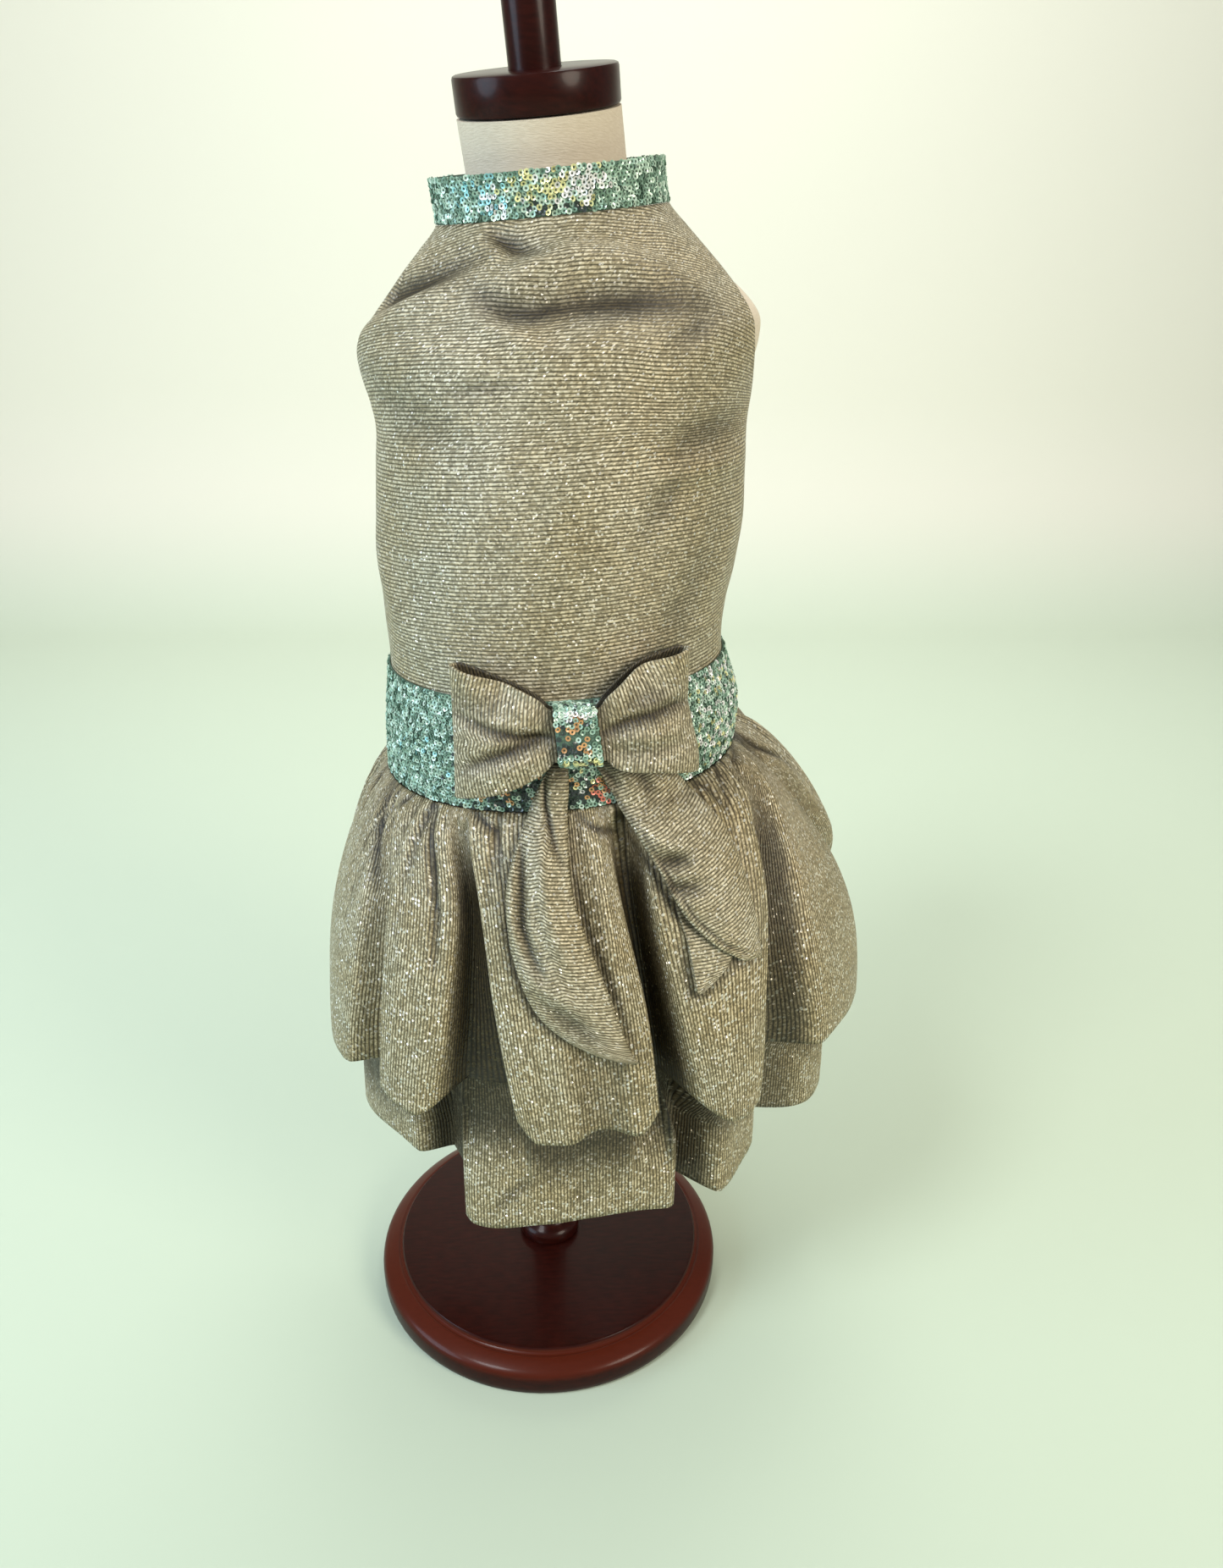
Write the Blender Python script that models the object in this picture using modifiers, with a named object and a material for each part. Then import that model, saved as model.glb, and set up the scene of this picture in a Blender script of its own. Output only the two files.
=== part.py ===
"""A gathered, two-tier dog dress on a limbless dress form with a turned wooden stand.

The origin is the middle of the base's underside, on the floor. +Z is up, and -Y is the
side with the bow, which is the back of the dress. Tables and sizes are in millimetres.
"""
from math import cos, degrees, exp, pi, radians, sin

import bmesh
import bpy
from mathutils import Vector

MM = 0.001

# Cloth
KNIT_WALL = 1.6
SEQUIN_WALL = 1.8
SEAM_GAP = 0.3
LAYER_GAP = 0.5

# Torso sections, from the waist seam up to the cap.
# height is the level of the section's middle, across and deep are its middle's place,
# tilt_across and tilt_deep are the rise of the section along +X and +Y.
SECTION_COLUMNS = ("height", "across", "deep", "form_half_width", "form_half_depth",
                   "cloth_half_width", "cloth_half_depth", "tilt_across", "tilt_deep")
SECTIONS = (
    (354.0, 10.5, 0.0, 84.0, 87.0, 104.2, 108.2, 0.000, 0.000),
    (362.0, 10.5, 0.0, 93.0, 96.0, 104.2, 108.2, 0.020, 0.000),
    (380.0, 10.5, 0.0, 98.0, 101.0, 104.2, 108.2, 0.050, 0.000),
    (421.0, 11.0, 0.0, 101.6, 105.6, 104.2, 108.2, 0.085, 0.000),
    (450.0, 11.8, 0.0, 101.6, 105.6, 104.2, 108.2, 0.065, 0.000),
    (480.0, 8.8, 1.0, 96.0, 102.0, 98.6, 104.6, 0.045, 0.000),
    (512.0, 8.5, 2.0, 97.3, 102.4, 99.9, 105.0, 0.020, 0.000),
    (535.0, 9.9, 3.0, 99.8, 102.6, 103.0, 106.0, 0.000, 0.000),
    (562.0, 11.9, 4.0, 101.0, 103.3, 104.4, 106.7, 0.000, 0.000),
    (590.0, 12.6, 6.0, 100.4, 103.2, 103.7, 106.5, 0.000, 0.000),
    (608.0, 12.9, 8.0, 99.9, 102.3, 103.2, 105.6, 0.010, 0.010),
    (622.0, 12.7, 9.0, 101.8, 101.0, 105.2, 104.5, 0.025, 0.020),
    (636.0, 12.0, 10.0, 105.4, 100.2, 108.5, 103.5, 0.038, 0.035),
    (650.0, 12.5, 11.0, 108.7, 98.6, 111.0, 101.6, 0.050, 0.045),
    (660.0, 13.5, 12.0, 107.2, 94.0, 110.6, 97.8, 0.060, 0.055),
    (672.0, 12.0, 12.0, 98.0, 86.6, 101.6, 91.4, 0.070, 0.065),
    (682.0, 10.5, 12.5, 85.0, 76.0, 92.2, 84.4, 0.080, 0.075),
    (692.0, 9.2, 12.5, 70.5, 65.0, 82.2, 76.4, 0.090, 0.085),
    (702.0, 8.6, 12.2, 56.0, 54.0, 71.8, 68.2, 0.100, 0.095),
    (713.5, 8.3, 12.0, 45.0, 45.0, 61.4, 60.2, 0.108, 0.100),
    (724.0, 6.8, 11.6, 42.0, 42.0, 60.6, 60.0, 0.108, 0.105),
    (735.0, 5.2, 9.6, 41.8, 41.8, 60.6, 60.0, 0.107, 0.125),
    (745.0, 3.8, 7.2, 41.8, 41.8, 60.6, 60.0, 0.105, 0.170),
    (758.4, 1.9, 4.1, 41.8, 41.8, 60.6, 60.0, 0.104, 0.225),
)

# Edges of the two bodice panels, as azimuths from the middle of the back.
# Below the armhole's foot both panels end at the side seams.
SIDE_SEAM = 96.0
SEAM_SHARE = 0.09
PANEL_COLUMNS = ("height", "back_left", "back_right", "belly_edge")
PANEL_EDGES = (
    (421.0, -96.0, 96.0, 96.0),
    (600.0, -96.0, 96.0, 96.0),
    (606.0, -94.6, 94.4, 98.0),
    (613.0, -91.6, 86.0, 103.5),
    (624.0, -88.2, 77.0, 110.5),
    (636.0, -85.0, 70.5, 116.5),
    (648.0, -80.6, 65.0, 121.0),
    (660.0, -75.0, 61.5, 125.0),
    (670.0, -71.5, 64.5, 127.0),
    (682.0, -71.5, 69.5, 129.0),
    (692.0, -74.0, 73.5, 130.0),
    (702.0, -78.0, 78.5, 130.0),
    (713.5, -83.0, 83.0, 128.0),
)
BODICE_ROWS = (421.0, 450.0, 480.0, 508.0, 540.0, 572.0, 600.0, 606.0, 613.0, 624.0,
               638.0, 651.0, 663.0, 676.0, 690.0, 702.0, 713.2)
BODICE_COLUMNS = 32
BELLY_COLUMNS = 18

# Bands
WAIST_HEIGHT = 421.0
BELT_ROWS = (421.0, 450.0, 480.0)
BAND_COLUMNS = 60
COLLAR_ROWS = (713.5, 734.5)
COLLAR_COLUMNS = 40

# The waist dips on the back's side and rises towards the belly.
BELLY_RISE = 16.0
BELLY_START = 10.0
BELLY_SPAN = 90.0
RISE_TOP = 570.0
RISE_FADE = 90.0
RISE_FOOT = 370.0
RISE_GROWTH = 45.0

# Skirt. The length runs down from the waist seam, by azimuth from the middle of the back. The
# upper tier ends at a share of it, the reach.
SKIRT_END = 135.0
STRAND_STEP = 3.3
LENGTH_COLUMNS = ("azimuth", "length", "reach_upper", "reach_lower", "flare_upper",
                  "flare_lower")
SKIRT_SIZES = (
    (-136.0, 100.0, 1.00, 1.00, 52.0, 30.0),
    (-115.0, 150.0, 1.00, 1.00, 54.0, 34.0),
    (-96.0, 176.0, 1.00, 0.96, 52.0, 34.0),
    (-80.0, 182.0, 0.95, 0.90, 48.0, 33.0),
    (-50.0, 184.0, 0.88, 0.87, 54.0, 22.0),
    (-30.0, 184.0, 0.97, 1.00, 48.0, 22.0),
    (-8.0, 184.0, 1.00, 1.00, 44.0, 16.0),
    (8.0, 184.0, 1.00, 1.00, 48.0, 14.0),
    (22.0, 185.0, 1.00, 1.00, 50.0, 18.0),
    (43.0, 189.0, 1.00, 1.00, 68.0, 34.0),
    (60.0, 192.0, 0.89, 0.98, 78.0, 34.0),
    (76.0, 194.0, 0.91, 0.98, 88.0, 40.0),
    (92.0, 190.0, 0.97, 1.00, 98.0, 84.0),
    (104.0, 150.0, 1.00, 1.00, 98.0, 82.0),
    (118.0, 118.0, 1.00, 1.00, 88.0, 66.0),
    (136.0, 100.0, 1.00, 1.00, 74.0, 50.0),
)
UPPER_ROWS = (0.0, 0.03, 0.09, 0.18, 0.32, 0.52, 0.76, 1.0)
LOWER_ROWS = UPPER_ROWS + (1.24, 1.48)
LOWER_REACH = 1.48
LOWER_DROP = 0.035
LOWER_ASIDE = 2.5
LOWER_ASIDE_REACH = 0.2
LOWER_EXTRA_GAP = 3.0
LOWER_GAP_REACH = 0.3
LOWER_FREE_SPAN = 0.4
LOWER_FLOOR = -1.0
VALLEY_FLOOR = 2.0
VALLEY_ROOM = 5.0
VALLEY_REACH = 0.25
MIDWAY = 0.6
PUFF_SHARE = 0.15
PUFF_REACH = 0.04
FLARE_POWER = 2.2

# Folds of the tiers, one valley a row. Columns: the azimuths of the floor's left edge at
# FOLD_FALLS, those of its right edge, the valley's depth and the rise of its hem in mm, and the
# widths of the slopes beyond the left and the right edge in degrees.
FOLD_FALLS = (0.0, 0.25, 0.6, 1.0)
UPPER_FOLDS = (
    ((-121.0, -122.0, -123.4, -125.0), (-119.0, -120.0, -121.4, -123.0), 26.0, 6.0, 8.0, 8.0),
    ((-93.0, -95.0, -97.5, -100.0), (-91.0, -93.0, -95.5, -98.0), 24.0, 6.0, 8.0, 8.0),
    ((-60.5, -51.5, -48.5, -49.5), (-59.0, -49.5, -46.5, -47.0), 20.0, 3.0, 5.5, 3.2),
    ((-33.0, -25.2, -24.8, -27.5), (-30.5, -23.6, -18.5, -14.0), 30.0, 17.0, 3.0, 3.0),
    ((0.0, 2.0, 4.5, 7.0), (1.5, 3.5, 6.0, 8.5), 8.0, 3.0, 6.5, 6.5),
    ((12.5, 15.3, 20.0, 23.0), (18.5, 18.3, 21.8, 27.0), 42.0, 14.0, 2.8, 2.8),
    ((62.0, 54.0, 46.5, 44.5), (65.5, 57.5, 52.0, 53.0), 30.0, 8.0, 3.0, 6.0),
    ((77.0, 84.0, 92.0, 98.0), (79.0, 86.0, 95.0, 102.0), 34.0, 8.0, 5.0, 7.0),
    ((111.0, 113.0, 115.6, 118.0), (113.0, 115.0, 117.6, 120.0), 30.0, 6.0, 7.5, 8.0),
)
LOWER_FOLDS = (
    ((-118.5, -119.0, -120.0, -121.0), (-117.0, -117.5, -118.5, -119.5), 24.0, 6.0, 9.0, 9.0),
    ((-91.0, -94.0, -98.0, -103.0), (-89.5, -92.5, -96.5, -101.5), 16.0, 4.0, 9.0, 9.0),
    ((-38.0, -38.0, -40.0, -42.0), (-35.0, -34.5, -35.0, -35.0), 24.0, 4.0, 6.0, 4.5),
    ((12.0, 18.0, 26.5, 37.0), (13.5, 19.5, 28.0, 38.5), 24.0, 7.0, 6.0, 6.0),
    ((50.0, 56.0, 65.0, 76.0), (51.5, 57.5, 66.5, 77.5), 22.0, 6.0, 10.0, 10.0),
    ((100.0, 104.0, 111.0, 119.0), (101.5, 105.5, 112.5, 120.5), 22.0, 6.0, 9.0, 9.0),
)
FOLD_GROWTH = 0.6
FOLD_START = 0.06
SHOULDER_SHARE = 0.18
SHOULDER_SLOPE = 8.0
LIFT_GROWTH = 3.0
LOWER_RUN = 1.2
GATHER_PITCH = 7.5
GATHER_DEPTH = 3.4
GATHER_START = 0.05
GATHER_REACH = 0.13

# Bow, in lengths along the belt from the knot's middle and out from the belt
BOW_AZIMUTH = 3.6
BOW_HEIGHT = 466.0
BOW_RADIUS = 110.0
LOOP_START = 0.2
LOOP_LENGTH = 63.0
LOOP_STAND_OFF = 3.2
LOOP_PINCH_HEIGHT = 27.2
LOOP_PINCH_DEPTH = 6.6
LOOP_DEPTH = 16.0
LOOP_CREASE = 3.2
LOOP_WALL = 1.2
LOOP_NEAR_BLUNTNESS = 0.35
LOOP_FAR_BLUNTNESS = 0.7
LOOP_OPENING = 30.0
LOOP_WIDENING = 46.0
LOOP_NECK = 13.6
LOOP_SHAPES = {
    # name: side, rise, height of the far end, power of the growth of the height
    "bow_loop_left": (-1.0, -1.5, 70.0, 0.6),
    "bow_loop_right": (1.0, 7.0, 66.0, 0.5),
}
LOOP_SEGMENTS = 20
LOOP_ROWS = 8
KNOT_WIDTH = 21.0
KNOT_HEIGHT = 32.0
KNOT_DEPTH = 15.0
KNOT_MIDDLE = 8.0
KNOT_SEGMENTS = 20
KNOT_SQUARENESS = 0.6

# Tails: height, and the azimuths of the left and right edges there
TAIL_STRIPS = 6
TAIL_COLUMNS = ("height", "left_edge", "right_edge")
TAIL_LEFT = (
    (449.0, -4.0, 0.4),
    (432.0, -8.4, 0.8),
    (412.0, -11.6, 0.6),
    (388.0, -14.0, 1.2),
    (362.0, -13.0, 4.2),
    (340.0, -10.4, 7.4),
    (320.0, -6.4, 10.0),
    (306.0, -0.4, 11.6),
    (296.0, 7.0, 13.0),
    (290.0, 13.2, 14.4),
)
TAIL_RIGHT = (
    (449.0, 7.4, 17.0),
    (436.0, 11.6, 33.0),
    (414.0, 17.0, 40.0),
    (391.0, 22.0, 41.6),
    (368.0, 26.0, 41.6),
    (350.0, 31.6, 41.2),
    (339.0, 37.0, 41.0),
)
TAIL_RIGHT_UNDER = (
    (372.0, 25.2, 37.0),
    (352.0, 26.4, 37.0),
    (336.0, 27.0, 34.0),
    (324.0, 27.4, 28.4),
)
TAIL_SHAPES = {
    # name: edges, rows of strips, clearance over the skirt, soft bulge
    "tail_left": (TAIL_LEFT, 14, 0.5, 4.0),
    "tail_right": (TAIL_RIGHT, 12, 3.0, 3.0),
    "tail_right_under": (TAIL_RIGHT_UNDER, 5, 0.5, 0.0),
}

# Form and stand
FORM_COLUMNS = 32
BASE_SEGMENTS = 44
CAP_SEGMENTS = 36
POLE_SEGMENTS = 20
ROD_SEGMENTS = 20
BASE_PROFILE = (
    (0.0, 0.0), (121.0, 0.0), (124.4, 2.4), (125.0, 6.0), (125.0, 14.0), (123.4, 17.6),
    (113.2, 23.2), (112.0, 22.6), (110.6, 23.4), (110.0, 26.0), (107.4, 26.6), (0.0, 26.6),
)
POLE_FOOT = 26.9
POLE_TOP = 353.7
POLE_PROFILE = (
    (0.0, POLE_FOOT), (20.6, POLE_FOOT), (21.8, 29.6), (21.8, 34.0), (19.4, 37.6),
    (15.4, 40.0), (13.3, 45.0), (13.3, 340.0), (20.0, 346.0), (20.0, POLE_TOP),
    (0.0, POLE_TOP),
)
CAP_TOP = Vector((0.0, 0.0, 776.5))
CAP_NORMAL = Vector((-0.104, -0.225, 1.0)).normalized()
CAP_RADIUS = 42.1
CAP_THICKNESS = 17.9
CAP_BEVEL = 1.6
SOCKET_DEPTH = 6.0
ROD_RADIUS = 13.3
ROD_LENGTH = 52.0
ROD_ROUNDING = 6.0


def clear_scene():
    for item in list(bpy.data.objects):
        bpy.data.objects.remove(item, do_unlink=True)


def make_material(name, colour, roughness, metallic=0.0):
    material = bpy.data.materials.new(name)
    material.use_nodes = True
    shader = material.node_tree.nodes["Principled BSDF"]
    shader.inputs["Base Color"].default_value = (*colour, 1.0)
    shader.inputs["Roughness"].default_value = roughness
    shader.inputs["Metallic"].default_value = metallic
    return material


def smooth_step(value):
    value = min(max(value, 0.0), 1.0)
    return value * value * (3.0 - 2.0 * value)


def read_table(rows, columns, column, at):
    """A smooth curve through one column of a table, read at a value of its first column."""
    index = columns.index(column)
    keys = [row[0] for row in rows]
    if at <= keys[0]:
        return rows[0][index]
    if at >= keys[-1]:
        return rows[-1][index]
    low = max(i for i, key in enumerate(keys) if key <= at)
    high = low + 1
    before, after = max(low - 1, 0), min(high + 1, len(rows) - 1)
    span = keys[high] - keys[low]
    share = (at - keys[low]) / span
    start, end = rows[low][index], rows[high][index]
    start_slope = (end - rows[before][index]) / (keys[high] - keys[before]) * span
    end_slope = (rows[after][index] - start) / (keys[after] - keys[low]) * span
    return (start * (2 * share ** 3 - 3 * share ** 2 + 1)
            + start_slope * (share ** 3 - 2 * share ** 2 + share)
            + end * (3 * share ** 2 - 2 * share ** 3)
            + end_slope * (share ** 3 - share ** 2))


def torso_point(layer, azimuth, height):
    """A point of the torso: layer is form or cloth, and azimuth 0 is the back's middle."""
    def read(column):
        return read_table(SECTIONS, SECTION_COLUMNS, column, height)
    angle = radians(azimuth)
    right = read(layer + "_half_width") * sin(angle)
    back = -read(layer + "_half_depth") * cos(angle)
    rise = read("tilt_across") * right + read("tilt_deep") * back
    belly = smooth_step((back - BELLY_START) / BELLY_SPAN)
    waist = (smooth_step((RISE_TOP - height) / RISE_FADE)
             * smooth_step((height - RISE_FOOT) / RISE_GROWTH))
    return Vector((read("across") + right, read("deep") + back,
                   height + rise + BELLY_RISE * belly * waist))


def moved_out(surface, azimuth, height, out):
    """A point of a surface of azimuth and height, moved along the surface's normal."""
    along = surface(azimuth + 0.5, height) - surface(azimuth - 0.5, height)
    up = surface(azimuth, height + 0.5) - surface(azimuth, height - 0.5)
    return surface(azimuth, height) + along.cross(up).normalized() * out


def cloth_point(azimuth, height, out=0.0):
    return moved_out(lambda a, h: torso_point("cloth", a, h), azimuth, height, out)


def make_object(name, mesh_maker, material, collection):
    mesh = bpy.data.meshes.new(name)
    body = bmesh.new()
    mesh_maker(body)
    bmesh.ops.recalc_face_normals(body, faces=body.faces)
    body.to_mesh(mesh)
    body.free()
    mesh.shade_smooth()
    mesh.set_sharp_from_angle(angle=radians(40.0))
    mesh.materials.append(material)
    piece = bpy.data.objects.new(name, mesh)
    collection.objects.link(piece)
    return piece


def shape_grid(body, columns, rows, point, joined=False):
    """A grid whose corners go to point(column, row); joined closes it into a ring."""
    bmesh.ops.create_grid(body, x_segments=columns, y_segments=rows, size=0.5)
    for corner in body.verts:
        column = round((corner.co.x + 0.5) * columns)
        row = round((corner.co.y + 0.5) * rows)
        corner.co = point(column, row) * MM
    if joined:
        bmesh.ops.remove_doubles(body, verts=body.verts, dist=1e-6)


def outward_first(piece, centre):
    """Turn an open sheet's faces away from a centre, before it gets its thickness."""
    mesh = piece.data
    facing = sum((face.center - centre).dot(face.normal) * face.area for face in mesh.polygons)
    if facing < 0.0:
        mesh.flip_normals()


def make_wall(name, columns, rows, point, wall, material, collection, joined=False,
              centre=None):
    """An open sheet on its outer face, thickened inwards."""
    piece = make_object(name, lambda body: shape_grid(body, columns, rows, point, joined),
                        material, collection)
    outward_first(piece, (centre or Vector((11.0, 6.0, 450.0))) * MM)
    solid = piece.modifiers.new("Cloth thickness", "SOLIDIFY")
    solid.thickness = wall * MM
    solid.offset = -1.0
    return piece


def make_turned(name, profile, segments, material, collection):
    """A turned piece: a profile of radius and height, spun about Z."""
    piece = make_object(name, lambda body: draw_profile(body, profile), material, collection)
    turn = piece.modifiers.new("Turning", "SCREW")
    turn.steps = segments
    turn.render_steps = segments
    turn.use_merge_vertices = True
    turn.merge_threshold = 0.00001
    return piece


def draw_profile(body, profile):
    corners = [body.verts.new((radius * MM, 0.0, height * MM))
               for radius, height in reversed(profile)]
    for first, second in zip(corners, corners[1:]):
        body.edges.new((first, second))


def build_bodice_back(material, collection):
    def point(column, row):
        height = BODICE_ROWS[row]
        left = max(read_table(PANEL_EDGES, PANEL_COLUMNS, "back_left", height), -SIDE_SEAM)
        right = min(read_table(PANEL_EDGES, PANEL_COLUMNS, "back_right", height), SIDE_SEAM)
        left, right = left + SEAM_SHARE, right - SEAM_SHARE
        return cloth_point(left + (right - left) * column / BODICE_COLUMNS, height)
    return make_wall("bodice_back", BODICE_COLUMNS, len(BODICE_ROWS) - 1, point, KNIT_WALL,
                     material, collection)


def build_bodice_belly(material, collection):
    def point(column, row):
        height = BODICE_ROWS[row]
        edge = read_table(PANEL_EDGES, PANEL_COLUMNS, "belly_edge", height)
        edge = max(edge, SIDE_SEAM) + SEAM_SHARE
        azimuth = edge + (360.0 - 2.0 * edge) * column / BELLY_COLUMNS
        return cloth_point(azimuth, height)
    return make_wall("bodice_belly", BELLY_COLUMNS, len(BODICE_ROWS) - 1, point, KNIT_WALL,
                     material, collection)


def build_belt(material, collection):
    def point(column, row):
        azimuth = 360.0 * (column % BAND_COLUMNS) / BAND_COLUMNS
        return cloth_point(azimuth, BELT_ROWS[row], SEAM_GAP + SEQUIN_WALL)
    return make_wall("belt", BAND_COLUMNS, len(BELT_ROWS) - 1, point, SEQUIN_WALL,
                     material, collection, joined=True)


def build_collar(material, collection):
    def point(column, row):
        azimuth = 360.0 * (column % COLLAR_COLUMNS) / COLLAR_COLUMNS
        return torso_point("cloth", azimuth, COLLAR_ROWS[row])
    return make_wall("collar", COLLAR_COLUMNS, len(COLLAR_ROWS) - 1, point, SEQUIN_WALL,
                     material, collection, joined=True, centre=Vector((8.0, 12.0, 724.0)))


def flare_share(fall):
    """How much of the hem's flare a tier has reached, by its share of the length."""
    puff = PUFF_SHARE * (1.0 - exp(-fall / PUFF_REACH))
    return puff + (1.0 - PUFF_SHARE) * (1.0 - max(1.0 - fall, 0.0) ** FLARE_POWER)


def fold_edges(fold, fall):
    """The azimuths where a valley starts, reaches its floor, leaves it and ends."""
    left, right = (read_table(tuple(zip(FOLD_FALLS, edge)), ("fall", "azimuth"), "azimuth", fall)
                   for edge in fold[:2])
    return left - fold[4], left, right, right + fold[5]


def fold_strength(fold, azimuth, fall):
    """How much of a valley's depth a place has, and how much with broad shoulders."""
    start, left, right, end = fold_edges(fold, fall)
    return (smooth_step((azimuth - start) / (left - start))
            * smooth_step((end - azimuth) / (end - right)),
            smooth_step((azimuth - left) / SHOULDER_SLOPE + 1.0)
            * smooth_step((right - azimuth) / SHOULDER_SLOPE + 1.0))


def fold_depth(folds, azimuth, fall, run=1.0):
    """The depth of a tier's valleys at a place."""
    depth = 0.0
    for fold in folds:
        own, broad = fold_strength(fold, azimuth, fall / run)
        depth += fold[2] * (own + SHOULDER_SHARE * (broad - own))
    return depth * fall ** FOLD_GROWTH * smooth_step(fall / FOLD_START)


def hem_lift(folds, azimuth, fall, run=1.0):
    """How far the valleys draw the hem up, which rounds the hem beside them."""
    rise = sum(fold[3] * fold_strength(fold, azimuth, fall / run)[1] for fold in folds)
    return rise * min(fall / run, 1.0) ** LIFT_GROWTH


def gather_depth(azimuth, fall):
    """The small gathers at the seam, which fade down the tier."""
    wave = 0.5 + 0.5 * cos(2.0 * pi * azimuth / GATHER_PITCH + 1.2 * sin(radians(3.0 * azimuth)))
    grown = (smooth_step(fall / GATHER_START)
             * exp(-max(fall - GATHER_START, 0.0) / GATHER_REACH))
    return GATHER_DEPTH * wave * grown


def skirt_place(azimuth, fall, out, lift=0.0):
    """A point at a share of the upper tier's length below the seam, out from the waist."""
    seam = torso_point("cloth", azimuth, WAIST_HEIGHT)
    length = read_table(SKIRT_SIZES, LENGTH_COLUMNS, "length", azimuth)
    angle = radians(azimuth)
    return Vector((seam.x + out * sin(angle), seam.y - out * cos(angle),
                   seam.z - SEAM_GAP - fall * length + lift))


def upper_out(azimuth, fall, folded=True):
    flare = read_table(SKIRT_SIZES, LENGTH_COLUMNS, "flare_upper", azimuth)
    out = SEAM_GAP + SEQUIN_WALL + flare * flare_share(fall)
    if folded:
        out -= fold_depth(UPPER_FOLDS, azimuth, fall) + gather_depth(azimuth, fall)
        out = max(out, VALLEY_FLOOR + VALLEY_ROOM * smooth_step(fall / VALLEY_REACH))
    return out


def lower_out(azimuth, fall):
    flare = read_table(SKIRT_SIZES, LENGTH_COLUMNS, "flare_lower", azimuth)
    own = (flare * flare_share(fall / LOWER_REACH)
           - fold_depth(LOWER_FOLDS, azimuth, fall, LOWER_RUN))
    clearance = KNIT_WALL + LAYER_GAP + LOWER_EXTRA_GAP * smooth_step(fall / LOWER_GAP_REACH)
    covered = min(max(fall - LOWER_DROP, 0.0), 1.0)
    aside = LOWER_ASIDE * smooth_step(fall / LOWER_ASIDE_REACH)
    under = min(upper_out(azimuth + side * aside, covered) for side in (-1.0, 0.0, 1.0))
    under -= clearance
    free = smooth_step((fall - 1.0) / LOWER_FREE_SPAN)
    return max(own if own < under else under + (own - under) * free, LOWER_FLOOR)


def cloth_lines(fall):
    """The azimuths of the cloth's main lengthwise lines, which run with the valleys' edges."""
    lines = [-SKIRT_END]
    for fold in UPPER_FOLDS:
        lines.extend(fold_edges(fold, fall))
    return lines + [SKIRT_END]


def make_strands():
    """The tiers' lengthwise strands, each a main line and a share of the way to the next."""
    strands = []
    lines = cloth_lines(MIDWAY)
    for number, (low, high) in enumerate(zip(lines, lines[1:])):
        count = max(round((high - low) / STRAND_STEP), 1)
        strands.extend((number, step / count) for step in range(count))
    return strands + [(len(lines) - 2, 1.0)]


def cloth_line(strand, fall):
    """The azimuth of a strand of the tiers' cloth."""
    lines = cloth_lines(fall)
    number, share = strand
    return lines[number] + (lines[number + 1] - lines[number]) * share


def build_skirt_upper(material, collection):
    strands = make_strands()

    def point(column, row):
        azimuth = cloth_line(strands[column], UPPER_ROWS[row])
        fall = UPPER_ROWS[row] * read_table(SKIRT_SIZES, LENGTH_COLUMNS, "reach_upper", azimuth)
        return skirt_place(azimuth, fall, upper_out(azimuth, fall),
                           hem_lift(UPPER_FOLDS, azimuth, fall))
    return make_wall("skirt_upper", len(strands) - 1, len(UPPER_ROWS) - 1, point, KNIT_WALL,
                     material, collection)


def build_skirt_lower(material, collection):
    strands = make_strands()

    def point(column, row):
        azimuth = cloth_line(strands[column], LOWER_ROWS[row])
        fall = LOWER_ROWS[row] * read_table(SKIRT_SIZES, LENGTH_COLUMNS, "reach_lower", azimuth)
        free = smooth_step((fall - 1.0) / LOWER_FREE_SPAN)
        return skirt_place(azimuth, fall, lower_out(azimuth, fall),
                           free * hem_lift(LOWER_FOLDS, azimuth, fall, LOWER_RUN))
    return make_wall("skirt_lower", len(strands) - 1, len(LOWER_ROWS) - 1, point, KNIT_WALL,
                     material, collection)


def bow_point(along, out, height):
    """A point of the bow, along the belt from the knot and out from the belt's face."""
    azimuth = BOW_AZIMUTH + degrees(along / BOW_RADIUS)
    place = cloth_point(azimuth, height, SEAM_GAP + SEQUIN_WALL + out)
    place.z = height
    return place


def build_loop(name, material, collection):
    """One loop of the bow: a band that runs out from the knot, turns and comes back."""
    side, rise, end_height, growth = LOOP_SHAPES[name]

    def point(column, row):
        turn = 2.0 * pi * (column % LOOP_SEGMENTS) / LOOP_SEGMENTS
        run = 0.5 - 0.5 * cos(turn)
        along = LOOP_START + (LOOP_LENGTH - LOOP_START) * run
        opened = smooth_step((along - KNOT_WIDTH / 2.0) / LOOP_OPENING)
        depth = LOOP_PINCH_DEPTH + (LOOP_DEPTH - LOOP_PINCH_DEPTH) * opened
        wide = min(max((along - LOOP_NECK) / LOOP_WIDENING, 0.0), 1.0) ** growth
        height = LOOP_PINCH_HEIGHT + (end_height - LOOP_PINCH_HEIGHT) * wide
        across = 2.0 * row / LOOP_ROWS - 1.0
        bluntness = (LOOP_NEAR_BLUNTNESS
                     + (LOOP_FAR_BLUNTNESS - LOOP_NEAR_BLUNTNESS) * smooth_step(2.0 * run))
        swell = abs(sin(turn)) ** bluntness * (1.0 if turn < pi else -1.0)
        crease = LOOP_CREASE * cos(3.0 * pi * across) * opened * (1.0 - run)
        middle = KNOT_MIDDLE + (LOOP_STAND_OFF + LOOP_DEPTH / 2.0 - KNOT_MIDDLE) * opened
        out = middle + depth / 2.0 * swell + crease * max(sin(turn), 0.0)
        level = BOW_HEIGHT + across * height / 2.0 + rise * opened
        return bow_point(side * along, out, level)
    centre = bow_point(side * LOOP_LENGTH / 2.0, LOOP_STAND_OFF + LOOP_DEPTH / 2.0, BOW_HEIGHT)
    return make_wall(name, LOOP_SEGMENTS, LOOP_ROWS, point, LOOP_WALL, material, collection,
                     joined=True, centre=centre)


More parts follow.
